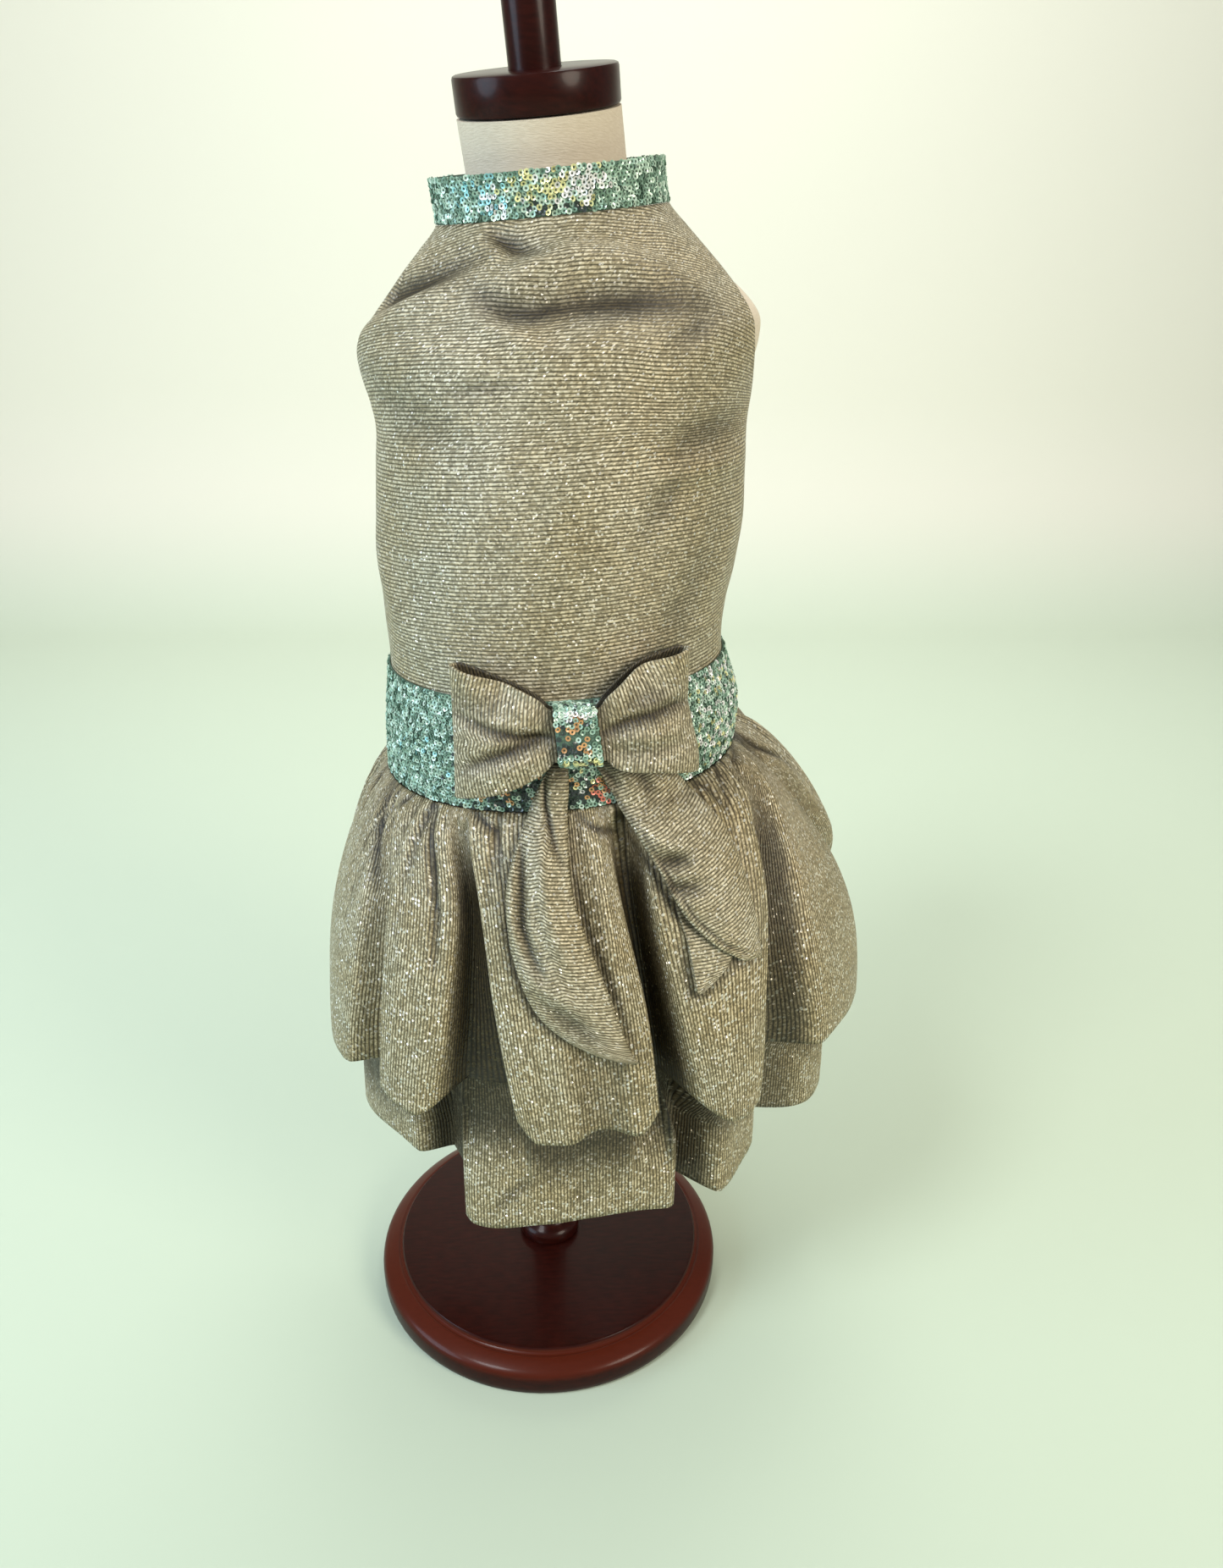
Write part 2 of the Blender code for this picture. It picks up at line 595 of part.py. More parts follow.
def build_knot(material, collection):
    """The sequined band round the pinched middle of the bow."""
    def point(column, row):
        turn = 2.0 * pi * (column % KNOT_SEGMENTS) / KNOT_SEGMENTS
        along = KNOT_WIDTH * (row / 2.0 - 0.5)
        squared_out = abs(cos(turn)) ** KNOT_SQUARENESS * (1.0 if cos(turn) > 0.0 else -1.0)
        squared_up = abs(sin(turn)) ** KNOT_SQUARENESS * (1.0 if sin(turn) > 0.0 else -1.0)
        out = KNOT_MIDDLE + KNOT_DEPTH / 2.0 * squared_out
        return bow_point(along, out, BOW_HEIGHT + KNOT_HEIGHT / 2.0 * squared_up)
    centre = bow_point(0.0, KNOT_MIDDLE, BOW_HEIGHT)
    return make_wall("bow_knot", KNOT_SEGMENTS, 2, point, SEQUIN_WALL, material, collection,
                     joined=True, centre=centre)


def drape_point(azimuth, height, out):
    """A point over the belt and the upper tier's crests, which a tail lies on."""
    seam = torso_point("cloth", azimuth, WAIST_HEIGHT)
    if height >= seam.z:
        place = cloth_point(azimuth, height, SEAM_GAP + SEQUIN_WALL + out)
    else:
        fall = (seam.z - height) / read_table(SKIRT_SIZES, LENGTH_COLUMNS, "length", azimuth)
        place = skirt_place(azimuth, fall, upper_out(azimuth, fall, folded=False) + out)
    place.z = height
    return place


def build_tail(name, material, collection):
    """A tail of the bow, over the belt and the skirt."""
    table, rows, lift, bulge = TAIL_SHAPES[name]
    top, tip = table[0][0], table[-1][0]
    falling = tuple(sorted(table))

    def point(column, row):
        height = top + (tip - top) * row / rows
        left = read_table(falling, TAIL_COLUMNS, "left_edge", height)
        right = read_table(falling, TAIL_COLUMNS, "right_edge", height)
        across = column / TAIL_STRIPS
        swell = sin(pi * across) * bulge * sin(pi * row / rows)
        clear = LAYER_GAP + (lift - LAYER_GAP) * smooth_step(2.0 * row / rows)
        return drape_point(left + (right - left) * across, height,
                           clear + KNIT_WALL + swell)
    return make_wall(name, TAIL_STRIPS, rows, point, KNIT_WALL, material, collection)


def build_form(material, collection):
    heights = [row[0] for row in SECTIONS]

    def mesh(body):
        def point(column, row):
            azimuth = 360.0 * (column % FORM_COLUMNS) / FORM_COLUMNS
            return torso_point("form", azimuth, heights[row])
        shape_grid(body, FORM_COLUMNS, len(heights) - 1, point, joined=True)
        open_edges = [edge for edge in body.edges if edge.is_boundary]
        bmesh.ops.holes_fill(body, edges=open_edges, sides=0)
    return make_object("form", mesh, material, collection)


def tilt_to_cap(piece, place):
    piece.rotation_mode = "QUATERNION"
    piece.rotation_quaternion = CAP_NORMAL.to_track_quat("Z", "Y")
    piece.location = place * MM


def build_cap(material, collection):
    edge, bevel = CAP_RADIUS, CAP_BEVEL
    profile = ((0.0, -CAP_THICKNESS), (edge - bevel, -CAP_THICKNESS),
               (edge, bevel - CAP_THICKNESS), (edge, -bevel), (edge - bevel, 0.0),
               (ROD_RADIUS + SEAM_GAP, 0.0), (ROD_RADIUS + SEAM_GAP, -SOCKET_DEPTH),
               (0.0, -SOCKET_DEPTH))
    piece = make_turned("neck_cap", profile, CAP_SEGMENTS, material, collection)
    tilt_to_cap(piece, CAP_TOP)
    return piece


def build_rod(material, collection):
    profile = [(0.0, SEAM_GAP - SOCKET_DEPTH), (ROD_RADIUS, SEAM_GAP - SOCKET_DEPTH),
               (ROD_RADIUS, ROD_LENGTH - ROD_ROUNDING)]
    for step in range(1, 4):
        angle = pi / 2.0 * step / 4.0
        profile.append((ROD_RADIUS - ROD_ROUNDING * (1.0 - cos(angle)),
                        ROD_LENGTH - ROD_ROUNDING * (1.0 - sin(angle))))
    profile += [(ROD_RADIUS - ROD_ROUNDING, ROD_LENGTH), (0.0, ROD_LENGTH)]
    piece = make_turned("top_rod", profile, ROD_SEGMENTS, material, collection)
    tilt_to_cap(piece, CAP_TOP)
    return piece


def main():
    clear_scene()
    collection = bpy.data.collections.new("dog_dress_on_stand")
    bpy.context.scene.collection.children.link(collection)
    knit = make_material("ribbed_metallic_knit", (0.42, 0.38, 0.24), 0.55, 0.2)
    sequins = make_material("green_sequins", (0.24, 0.45, 0.33), 0.3, 0.4)
    linen = make_material("form_cloth", (0.78, 0.70, 0.58), 0.9)
    wood = make_material("dark_red_wood", (0.09, 0.018, 0.012), 0.35)
    build_bodice_back(knit, collection)
    build_bodice_belly(knit, collection)
    build_collar(sequins, collection)
    build_belt(sequins, collection)
    build_skirt_upper(knit, collection)
    build_skirt_lower(knit, collection)
    for name in LOOP_SHAPES:
        build_loop(name, knit, collection)
    build_knot(sequins, collection)
    for name in TAIL_SHAPES:
        build_tail(name, knit, collection)
    build_form(linen, collection)
    build_cap(wood, collection)
    build_rod(wood, collection)
    make_turned("base", BASE_PROFILE, BASE_SEGMENTS, wood, collection)
    make_turned("pole", POLE_PROFILE, POLE_SEGMENTS, wood, collection)


main()
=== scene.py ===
# %% [markdown]
# # A two-tier dog dress on a dress form
# This lesson dresses a plain CAD model. The real object is a sleeveless knit dress for a dog,
# with a sequined collar and belt, a bow and a skirt in two gathered tiers. It hangs on a
# limbless form on a turned stand. The CAD solids hold the sizes, and each is covered here by a
# finer piece of the same shape, because folds, ribs and sequins are too fine for CAD.

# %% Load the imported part
import math

import bpy
import numpy as np
from mathutils import Matrix, Vector


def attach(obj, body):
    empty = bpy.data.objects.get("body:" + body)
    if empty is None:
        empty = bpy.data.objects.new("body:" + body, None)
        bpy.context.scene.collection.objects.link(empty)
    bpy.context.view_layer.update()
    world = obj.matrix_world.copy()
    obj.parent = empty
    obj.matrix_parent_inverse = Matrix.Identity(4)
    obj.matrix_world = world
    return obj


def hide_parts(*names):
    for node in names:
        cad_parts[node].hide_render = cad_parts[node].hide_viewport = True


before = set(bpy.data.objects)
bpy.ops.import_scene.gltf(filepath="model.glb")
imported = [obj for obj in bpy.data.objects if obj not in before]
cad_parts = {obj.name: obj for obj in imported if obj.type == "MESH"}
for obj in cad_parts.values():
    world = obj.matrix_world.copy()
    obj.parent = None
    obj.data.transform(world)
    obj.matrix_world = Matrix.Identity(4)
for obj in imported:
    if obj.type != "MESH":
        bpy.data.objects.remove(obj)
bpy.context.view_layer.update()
MM = 0.001
print("CAD nodes:", ", ".join(sorted(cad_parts)))

# %% [markdown]
# ## The camera and the studio
# The photograph looks down at the dress from close by. A floor that runs up into a wall gives
# the pale green that turns to cream, and large soft lamps stand at the upper left and right.
# A single point lamp would be simpler, but its hard shadows would hide the folds.

# %% Camera at the photograph's angle
CAMERA_PLACE = (0.0, -0.6434, 0.6601)
CAMERA_PITCH, CAMERA_YAW, CAMERA_ROLL = (math.radians(a) for a in (22.7706, 3.8105, 0.7417))
SENSOR_WIDTH, LENS_LENGTH = 36.0, 25.24
ahead = Vector((math.sin(CAMERA_YAW) * math.cos(CAMERA_PITCH),
                math.cos(CAMERA_YAW) * math.cos(CAMERA_PITCH), -math.sin(CAMERA_PITCH)))
level = Vector((math.cos(CAMERA_YAW), -math.sin(CAMERA_YAW), 0.0))
over = level.cross(ahead)
right = math.cos(CAMERA_ROLL) * level + math.sin(CAMERA_ROLL) * over
up = math.cos(CAMERA_ROLL) * over - math.sin(CAMERA_ROLL) * level
bpy.ops.object.camera_add()
camera = bpy.context.object
camera.name = "photo_camera"
camera.matrix_world = Matrix(((right.x, up.x, -ahead.x, CAMERA_PLACE[0]),
                              (right.y, up.y, -ahead.y, CAMERA_PLACE[1]),
                              (right.z, up.z, -ahead.z, CAMERA_PLACE[2]), (0, 0, 0, 1)))
camera.data.sensor_width, camera.data.lens = SENSOR_WIDTH, LENS_LENGTH
scene = bpy.context.scene
scene.camera = camera
scene.view_settings.view_transform = "Standard"
print("camera looks", tuple(round(a, 3) for a in ahead))


# %% Helpers for shader nodes
def wire(tree, kind, *inputs, **settings):
    """Add a node, set its settings and give its first inputs a value or a link."""
    node = tree.nodes.new(kind)
    for key, value in settings.items():
        setattr(node, key, value)
    for socket, value in zip(node.inputs, inputs):
        if isinstance(value, bpy.types.NodeSocket):
            tree.links.new(value, socket)
        elif value is not None:
            socket.default_value = value
    return node


def calc(tree, operation, *values):
    """The result of a Math node."""
    return wire(tree, "ShaderNodeMath", *values, operation=operation).outputs[0]


def step_up(tree, value, low, high):
    """A smooth step of a value between two levels."""
    return wire(tree, "ShaderNodeMapRange", value, low, high, 0.0, 1.0,
                interpolation_type="SMOOTHSTEP").outputs[0]


def blend_colour(tree, share, first, second, way="MIX"):
    """A Mix node for colours."""
    node = tree.nodes.new("ShaderNodeMix")
    node.data_type, node.blend_type = "RGBA", way
    for socket, value in ((node.inputs[0], share), (node.inputs[6], first),
                          (node.inputs[7], second)):
        if isinstance(value, bpy.types.NodeSocket):
            tree.links.new(value, socket)
        else:
            socket.default_value = value
    return node.outputs[2]


# %% Colours, materials and node groups
def paint(red, green, blue):
    """A linear colour with full alpha, from the 0 to 255 values of a colour picker."""
    def linear(value):
        value /= 255.0
        return value / 12.92 if value <= 0.04045 else ((value + 0.055) / 1.055) ** 2.4
    return (linear(red), linear(green), linear(blue), 1.0)


def start_material(name, roughness, metallic=0.0):
    """A new material, its node tree and its Principled shader."""
    material = bpy.data.materials.new(name)
    material.use_nodes = True
    shader = material.node_tree.nodes["Principled BSDF"]
    shader.inputs["Roughness"].default_value = roughness
    shader.inputs["Metallic"].default_value = metallic
    return material, material.node_tree, shader


def start_group(name, inputs, outputs):
    """An empty node group with named sockets."""
    group = bpy.data.node_groups.new(name, "ShaderNodeTree")
    for label, kind, value in inputs:
        socket = group.interface.new_socket(label, in_out="INPUT", socket_type=kind)
        if value is not None:
            socket.default_value = value
    for label, kind in outputs:
        group.interface.new_socket(label, in_out="OUTPUT", socket_type=kind)
    return group, group.nodes.new("NodeGroupInput"), group.nodes.new("NodeGroupOutput")


def place_group(tree, group, **values):
    """A copy of a node group in a tree, with a value or a link for each named input."""
    node = tree.nodes.new("ShaderNodeGroup")
    node.node_tree = group
    for label, value in values.items():
        socket = node.inputs[label.replace("_", " ")]
        if isinstance(value, bpy.types.NodeSocket):
            tree.links.new(value, socket)
        else:
            socket.default_value = value
    return node


print("a picked grey of 188 is linear", round(paint(188, 188, 188)[0], 3))

# %% Floor and backdrop
FLOOR_HALF, FLOOR_FRONT, WALL_PLACE, WALL_HEIGHT, COVE = 5.0, -4.0, 2.3, 4.0, 0.5
FLOOR_ROWS, FLAT_ROWS, COVE_ROWS = 40, 20, 16
CLIMB_LEAN, CLIMB_FROM, CLIMB_TO = 0.06, 0.02, 0.42
NEAR_EDGE, FAR_EDGE = -1.2, 1.6
bpy.ops.object.select_all(action="DESELECT")
bpy.ops.mesh.primitive_grid_add(x_subdivisions=2, y_subdivisions=FLOOR_ROWS, size=2.0)
floor = bpy.context.object
floor.name = "studio_floor"
for corner in floor.data.vertices:
    row = (corner.co.y + 1.0) / 2.0 * FLOOR_ROWS
    corner.co.x *= FLOOR_HALF
    if row <= FLAT_ROWS:
        depth = FLOOR_FRONT + (WALL_PLACE - COVE - FLOOR_FRONT) * row / FLAT_ROWS
        corner.co.y, corner.co.z = depth, 0.0
    elif row <= FLAT_ROWS + COVE_ROWS:
        turn = math.pi / 2.0 * (row - FLAT_ROWS) / COVE_ROWS
        corner.co.y = WALL_PLACE - COVE + COVE * math.sin(turn)
        corner.co.z = COVE * (1.0 - math.cos(turn))
    else:
        share = (row - FLAT_ROWS - COVE_ROWS) / (FLOOR_ROWS - FLAT_ROWS - COVE_ROWS)
        corner.co.y, corner.co.z = WALL_PLACE, COVE + (WALL_HEIGHT - COVE) * share
bpy.ops.object.shade_smooth()
material, tree, shader = start_material("floor_paper", 0.9)
place = wire(tree, "ShaderNodeTexCoord").outputs["Object"]
across, deep, high = wire(tree, "ShaderNodeSeparateXYZ", place).outputs
climb = step_up(tree, calc(tree, "ADD", high, calc(tree, "MULTIPLY", deep, CLIMB_LEAN)),
                CLIMB_FROM, CLIMB_TO)
near = step_up(tree, deep, NEAR_EDGE, FAR_EDGE)
green = blend_colour(tree, near, paint(177, 190, 171), paint(210, 224, 204))
tree.links.new(blend_colour(tree, climb, green, paint(238, 236, 222)),
               shader.inputs["Base Color"])
floor.data.materials.append(material)
print("floor:", len(floor.data.polygons), "faces")

# %% Lamps and sky
LAMPS = (
    # name, place, aimed at, size, power, colour
    ("window_lamp", (-1.1, -1.15, 2.1), (0.0, 0.0, 0.45), 0.7, 31.5, (0.95, 0.98, 1.0)),
    ("sky_lamp", (-1.9, -0.7, 0.9), (0.0, 0.0, 0.5), 1.2, 26.0, (0.60, 0.81, 1.0)),
    ("fill_lamp", (1.4, -1.4, 1.1), (0.0, 0.0, 0.4), 0.9, 29.0, (1.0, 0.91, 0.76)),
    ("top_lamp", (0.2, 0.5, 2.3), (0.0, 0.0, 0.4), 1.2, 8.0, (1.0, 0.99, 0.96)),
    ("wall_lamp", (0.3, 0.9, 2.6), (0.2, 2.3, 1.1), 1.4, 22.0, (1.0, 0.99, 0.97)),
)
for name, place, aim, size, power, colour in LAMPS:
    bpy.ops.object.light_add(type="AREA", location=place)
    lamp = bpy.context.object
    lamp.name = name
    lamp.data.shape, lamp.data.size = "DISK", size
    lamp.data.energy, lamp.data.color = power, colour
    lamp.rotation_euler = (Vector(aim) - Vector(place)).to_track_quat("-Z", "Y").to_euler()
SKY_COLOUR, SKY_STRENGTH = (0.99, 1.0, 0.97, 1.0), 0.36
world = bpy.data.worlds.new("studio_sky")
world.use_nodes = True
sky = world.node_tree.nodes["Background"]
sky.inputs["Color"].default_value, sky.inputs["Strength"].default_value = SKY_COLOUR, SKY_STRENGTH
scene.world = world
print("lamps:", len(LAMPS))

# %% [markdown]
# ## The shape of the dress, as tables
# The same tables shaped the CAD solids: the torso's sections, the edges of the bodice's two
# panels, and the lengths, flares and folds of the skirt's tiers. They are repeated here so that
# every piece can be laid on its solid with many more points. A piece could be copied from the
# solid and subdivided, but a table keeps the folds sharp where they should be.

# %% Tables of the torso
SECTION_COLUMNS = ("height", "across", "deep", "form_half_width", "form_half_depth",
                   "cloth_half_width", "cloth_half_depth", "tilt_across", "tilt_deep")
SECTIONS = (
    (354.0, 10.5, 0.0, 84.0, 87.0, 104.2, 108.2, 0.000, 0.000),
    (362.0, 10.5, 0.0, 93.0, 96.0, 104.2, 108.2, 0.020, 0.000),
    (380.0, 10.5, 0.0, 98.0, 101.0, 104.2, 108.2, 0.050, 0.000),
    (421.0, 11.0, 0.0, 101.6, 105.6, 104.2, 108.2, 0.085, 0.000),
    (450.0, 11.8, 0.0, 101.6, 105.6, 104.2, 108.2, 0.065, 0.000),
    (480.0, 8.8, 1.0, 96.0, 102.0, 98.6, 104.6, 0.045, 0.000),
    (512.0, 8.5, 2.0, 97.3, 102.4, 99.9, 105.0, 0.020, 0.000),
    (535.0, 9.9, 3.0, 99.8, 102.6, 103.0, 106.0, 0.000, 0.000),
    (562.0, 11.9, 4.0, 101.0, 103.3, 104.4, 106.7, 0.000, 0.000),
    (590.0, 12.6, 6.0, 100.4, 103.2, 103.7, 106.5, 0.000, 0.000),
    (608.0, 12.9, 8.0, 99.9, 102.3, 103.2, 105.6, 0.010, 0.010),
    (622.0, 12.7, 9.0, 101.8, 101.0, 105.2, 104.5, 0.025, 0.020),
    (636.0, 12.0, 10.0, 105.4, 100.2, 108.5, 103.5, 0.038, 0.035),
    (650.0, 12.5, 11.0, 108.7, 98.6, 111.0, 101.6, 0.050, 0.045),
    (660.0, 13.5, 12.0, 107.2, 94.0, 110.6, 97.8, 0.060, 0.055),
    (672.0, 12.0, 12.0, 98.0, 86.6, 101.6, 91.4, 0.070, 0.065),
    (682.0, 10.5, 12.5, 85.0, 76.0, 92.2, 84.4, 0.080, 0.075),
    (692.0, 9.2, 12.5, 70.5, 65.0, 82.2, 76.4, 0.090, 0.085),
    (702.0, 8.6, 12.2, 56.0, 54.0, 71.8, 68.2, 0.100, 0.095),
    (713.5, 8.3, 12.0, 45.0, 45.0, 61.4, 60.2, 0.108, 0.100),
    (724.0, 6.8, 11.6, 42.0, 42.0, 60.6, 60.0, 0.108, 0.105),
    (735.0, 5.2, 9.6, 41.8, 41.8, 60.6, 60.0, 0.107, 0.125),
    (745.0, 3.8, 7.2, 41.8, 41.8, 60.6, 60.0, 0.105, 0.170),
    (758.4, 1.9, 4.1, 41.8, 41.8, 60.6, 60.0, 0.104, 0.225),
)
SIDE_SEAM, SEAM_HALF = 96.0, 0.09  # degrees: the seam's place, and half the gap at it
PANEL_COLUMNS = ("height", "back_left", "back_right", "belly_edge")
PANEL_EDGES = (
    (421.0, -96.0, 96.0, 96.0),
    (600.0, -96.0, 96.0, 96.0),
    (606.0, -94.6, 94.4, 98.0),
    (613.0, -91.6, 86.0, 103.5),
    (624.0, -88.2, 77.0, 110.5),
    (636.0, -85.0, 70.5, 116.5),
    (648.0, -80.6, 65.0, 121.0),
    (660.0, -75.0, 61.5, 125.0),
    (670.0, -71.5, 64.5, 127.0),
    (682.0, -71.5, 69.5, 129.0),
    (692.0, -74.0, 73.5, 130.0),
    (702.0, -78.0, 78.5, 130.0),
    (713.5, -83.0, 83.0, 128.0),
)
WAIST_HEIGHT, BODICE_TOP = 421.0, 713.2
BELT_FOOT, BELT_TOP = 421.0, 480.0
COLLAR_FOOT, COLLAR_TOP = 713.5, 734.5
BELLY_RISE, BELLY_START, BELLY_SPAN = 16.0, 10.0, 90.0
RISE_TOP, RISE_FADE, RISE_FOOT, RISE_GROWTH = 570.0, 90.0, 370.0, 45.0
SEAM_GAP, LAYER_GAP, KNIT_WALL, SEQUIN_WALL = 0.3, 0.5, 1.6, 1.8
NORMAL_STEP = 0.5
print("sections of the torso:", len(SECTIONS), "and of the panels' edges:", len(PANEL_EDGES))


# %% Reading a smooth curve from a table
def smooth_step(value):
    """A soft start and end between 0 and 1."""
    value = np.clip(value, 0.0, 1.0)
    return value * value * (3.0 - 2.0 * value)


def read_curve(rows, columns, column, at):
    """A smooth curve through one column of a table, read at values of its first column."""
    keys = np.array([row[0] for row in rows])
    values = np.array([row[columns.index(column)] for row in rows])
    at = np.clip(np.asarray(at, float), keys[0], keys[-1])
    low = np.clip(np.searchsorted(keys, at, side="right") - 1, 0, len(keys) - 2)
    high = low + 1
    before, after = np.maximum(low - 1, 0), np.minimum(high + 1, len(keys) - 1)
    span = keys[high] - keys[low]
    share = (at - keys[low]) / span
    start, end = values[low], values[high]
    start_slope = (end - values[before]) / (keys[high] - keys[before]) * span
    end_slope = (values[after] - start) / (keys[after] - keys[low]) * span
    return (start * (2 * share ** 3 - 3 * share ** 2 + 1)
            + start_slope * (share ** 3 - 2 * share ** 2 + share)
            + end * (3 * share ** 2 - 2 * share ** 3)
            + end_slope * (share ** 3 - share ** 2))


# %% Points of the torso
def torso_point(layer, azimuth, height):
    """Points of the torso: azimuth 0 is the middle of the back, where the bow is."""
    azimuth, height = np.broadcast_arrays(np.asarray(azimuth, float), np.asarray(height, float))

    def read(column):
        return read_curve(SECTIONS, SECTION_COLUMNS, column, height)
    angle = np.radians(azimuth)
    aside = read(layer + "_half_width") * np.sin(angle)
    back = -read(layer + "_half_depth") * np.cos(angle)
    rise = read("tilt_across") * aside + read("tilt_deep") * back
    belly = smooth_step((back - BELLY_START) / BELLY_SPAN)
    waist = (smooth_step((RISE_TOP - height) / RISE_FADE)
             * smooth_step((height - RISE_FOOT) / RISE_GROWTH))
    return np.stack((read("across") + aside, read("deep") + back,
                     height + rise + BELLY_RISE * belly * waist), axis=-1)


def unit(vectors):
    """Vectors of length 1."""
    return vectors / np.linalg.norm(vectors, axis=-1, keepdims=True)


def moved_out(surface, azimuth, height, out):
    """Points of a surface of azimuth and height, moved along its normals."""
    along = surface(azimuth + NORMAL_STEP, height) - surface(azimuth - NORMAL_STEP, height)
    rising = surface(azimuth, height + NORMAL_STEP) - surface(azimuth, height - NORMAL_STEP)
    normal = unit(np.cross(along, rising))
    return surface(azimuth, height) + normal * np.asarray(out)[..., None]


def cloth_point(azimuth, height, out=0.0):
    """Points of the bodice's outer face, or out from it, in mm."""
    azimuth, height, out = np.broadcast_arrays(
        *(np.asarray(value, float) for value in (azimuth, height, out)))
    return moved_out(lambda a, h: torso_point("cloth", a, h), azimuth, height, out)


print("middle of the back at the waist:", torso_point("cloth", 0.0, WAIST_HEIGHT).round(1), "mm")


# %% Tables of the skirt
SKIRT_END, STRAND_STEP = 135.0, 0.62
LENGTH_COLUMNS = ("azimuth", "length", "reach_upper", "reach_lower", "flare_upper",
                  "flare_lower")
SKIRT_SIZES = (
    (-136.0, 100.0, 1.00, 1.00, 52.0, 30.0),
    (-115.0, 150.0, 1.00, 1.00, 54.0, 34.0),
    (-96.0, 176.0, 1.00, 0.96, 52.0, 34.0),
    (-80.0, 182.0, 0.95, 0.90, 48.0, 33.0),
    (-50.0, 184.0, 0.88, 0.87, 54.0, 22.0),
    (-30.0, 184.0, 0.97, 1.00, 48.0, 22.0),
    (-8.0, 184.0, 1.00, 1.00, 44.0, 16.0),
    (8.0, 184.0, 1.00, 1.00, 48.0, 14.0),
    (22.0, 185.0, 1.00, 1.00, 50.0, 18.0),
    (43.0, 189.0, 1.00, 1.00, 68.0, 34.0),
    (60.0, 192.0, 0.89, 0.98, 78.0, 34.0),
    (76.0, 194.0, 0.91, 0.98, 88.0, 40.0),
    (92.0, 190.0, 0.97, 1.00, 98.0, 84.0),
    (104.0, 150.0, 1.00, 1.00, 98.0, 82.0),
    (118.0, 118.0, 1.00, 1.00, 88.0, 66.0),
    (136.0, 100.0, 1.00, 1.00, 74.0, 50.0),
)
# Folds of the tiers, one valley a row. Columns: the azimuths of the floor's left edge at
# FOLD_FALLS, those of its right edge, the valley's depth and the rise of its hem in mm, and the
# widths of the slopes beyond the left and the right edge in degrees. A fall is a share of the
# upper tier's length, from the waist seam down.
FOLD_FALLS = (0.0, 0.25, 0.6, 1.0)
UPPER_FOLDS = (
    ((-121.0, -122.0, -123.4, -125.0), (-119.0, -120.0, -121.4, -123.0), 26.0, 6.0, 8.0, 8.0),
    ((-93.0, -95.0, -97.5, -100.0), (-91.0, -93.0, -95.5, -98.0), 24.0, 6.0, 8.0, 8.0),
    ((-60.5, -51.5, -48.5, -49.5), (-59.0, -49.5, -46.5, -47.0), 20.0, 3.0, 5.5, 3.2),
    ((-33.0, -25.2, -24.8, -27.5), (-30.5, -23.6, -18.5, -14.0), 30.0, 17.0, 3.0, 3.0),
    ((0.0, 2.0, 4.5, 7.0), (1.5, 3.5, 6.0, 8.5), 8.0, 3.0, 6.5, 6.5),
    ((12.5, 15.3, 20.0, 23.0), (18.5, 18.3, 21.8, 27.0), 42.0, 14.0, 2.8, 2.8),
    ((62.0, 54.0, 46.5, 44.5), (65.5, 57.5, 52.0, 53.0), 30.0, 8.0, 3.0, 6.0),
    ((77.0, 84.0, 92.0, 98.0), (79.0, 86.0, 95.0, 102.0), 34.0, 8.0, 5.0, 7.0),
    ((111.0, 113.0, 115.6, 118.0), (113.0, 115.0, 117.6, 120.0), 30.0, 6.0, 7.5, 8.0),
)
LOWER_FOLDS = (
    ((-118.5, -119.0, -120.0, -121.0), (-117.0, -117.5, -118.5, -119.5), 24.0, 6.0, 9.0, 9.0),
    ((-91.0, -94.0, -98.0, -103.0), (-89.5, -92.5, -96.5, -101.5), 16.0, 4.0, 9.0, 9.0),
    ((-38.0, -38.0, -40.0, -42.0), (-35.0, -34.5, -35.0, -35.0), 24.0, 4.0, 6.0, 4.5),
    ((12.0, 18.0, 26.5, 37.0), (13.5, 19.5, 28.0, 38.5), 24.0, 7.0, 6.0, 6.0),
    ((50.0, 56.0, 65.0, 76.0), (51.5, 57.5, 66.5, 77.5), 22.0, 6.0, 10.0, 10.0),
    ((100.0, 104.0, 111.0, 119.0), (101.5, 105.5, 112.5, 120.5), 22.0, 6.0, 9.0, 9.0),
)
FOLD_GROWTH, FOLD_START, SHOULDER_SHARE, SHOULDER_SLOPE = 0.6, 0.06, 0.18, 8.0
LIFT_GROWTH, LOWER_RUN = 3.0, 1.2
GATHER_PITCH, GATHER_DEPTH, GATHER_START, GATHER_REACH = 6.2, 4.2, 0.04, 0.12
GATHER_DRIFTS = ((0.5, 0.19, 0.0), (0.3, 0.43, 1.0))  # share of a pitch, rate, start
GATHER_SHARPNESS, LEAST_REACH = 3.0, 0.35
UNEVEN_MIDDLE, UNEVEN_SWING, UNEVEN_RATE, UNEVEN_START = 0.6, 0.4, 0.31, 2.0
VALLEY_FLOOR, VALLEY_ROOM, VALLEY_REACH, LOWER_FLOOR = 2.0, 5.0, 0.25, -1.0
LOWER_REACH, LOWER_DROP, LOWER_ASIDE, LOWER_EXTRA_GAP, LOWER_FREE_SPAN = (
    1.48, 0.035, 2.5, 3.0, 0.4)
LOWER_ASIDE_REACH, LOWER_GAP_REACH = 0.2, 0.3
MIDWAY, PUFF_SHARE, PUFF_REACH, FLARE_POWER = 0.6, 0.15, 0.04, 2.2
print("folds:", len(UPPER_FOLDS), "in the upper tier,", len(LOWER_FOLDS), "in the lower one")


# %% Flare and folds of the skirt
def flare_share(fall):
    """How much of the hem's flare a tier has reached, by its share of the length."""
    puff = PUFF_SHARE * (1.0 - np.exp(-fall / PUFF_REACH))
    return puff + (1.0 - PUFF_SHARE) * (1.0 - np.maximum(1.0 - fall, 0.0) ** FLARE_POWER)


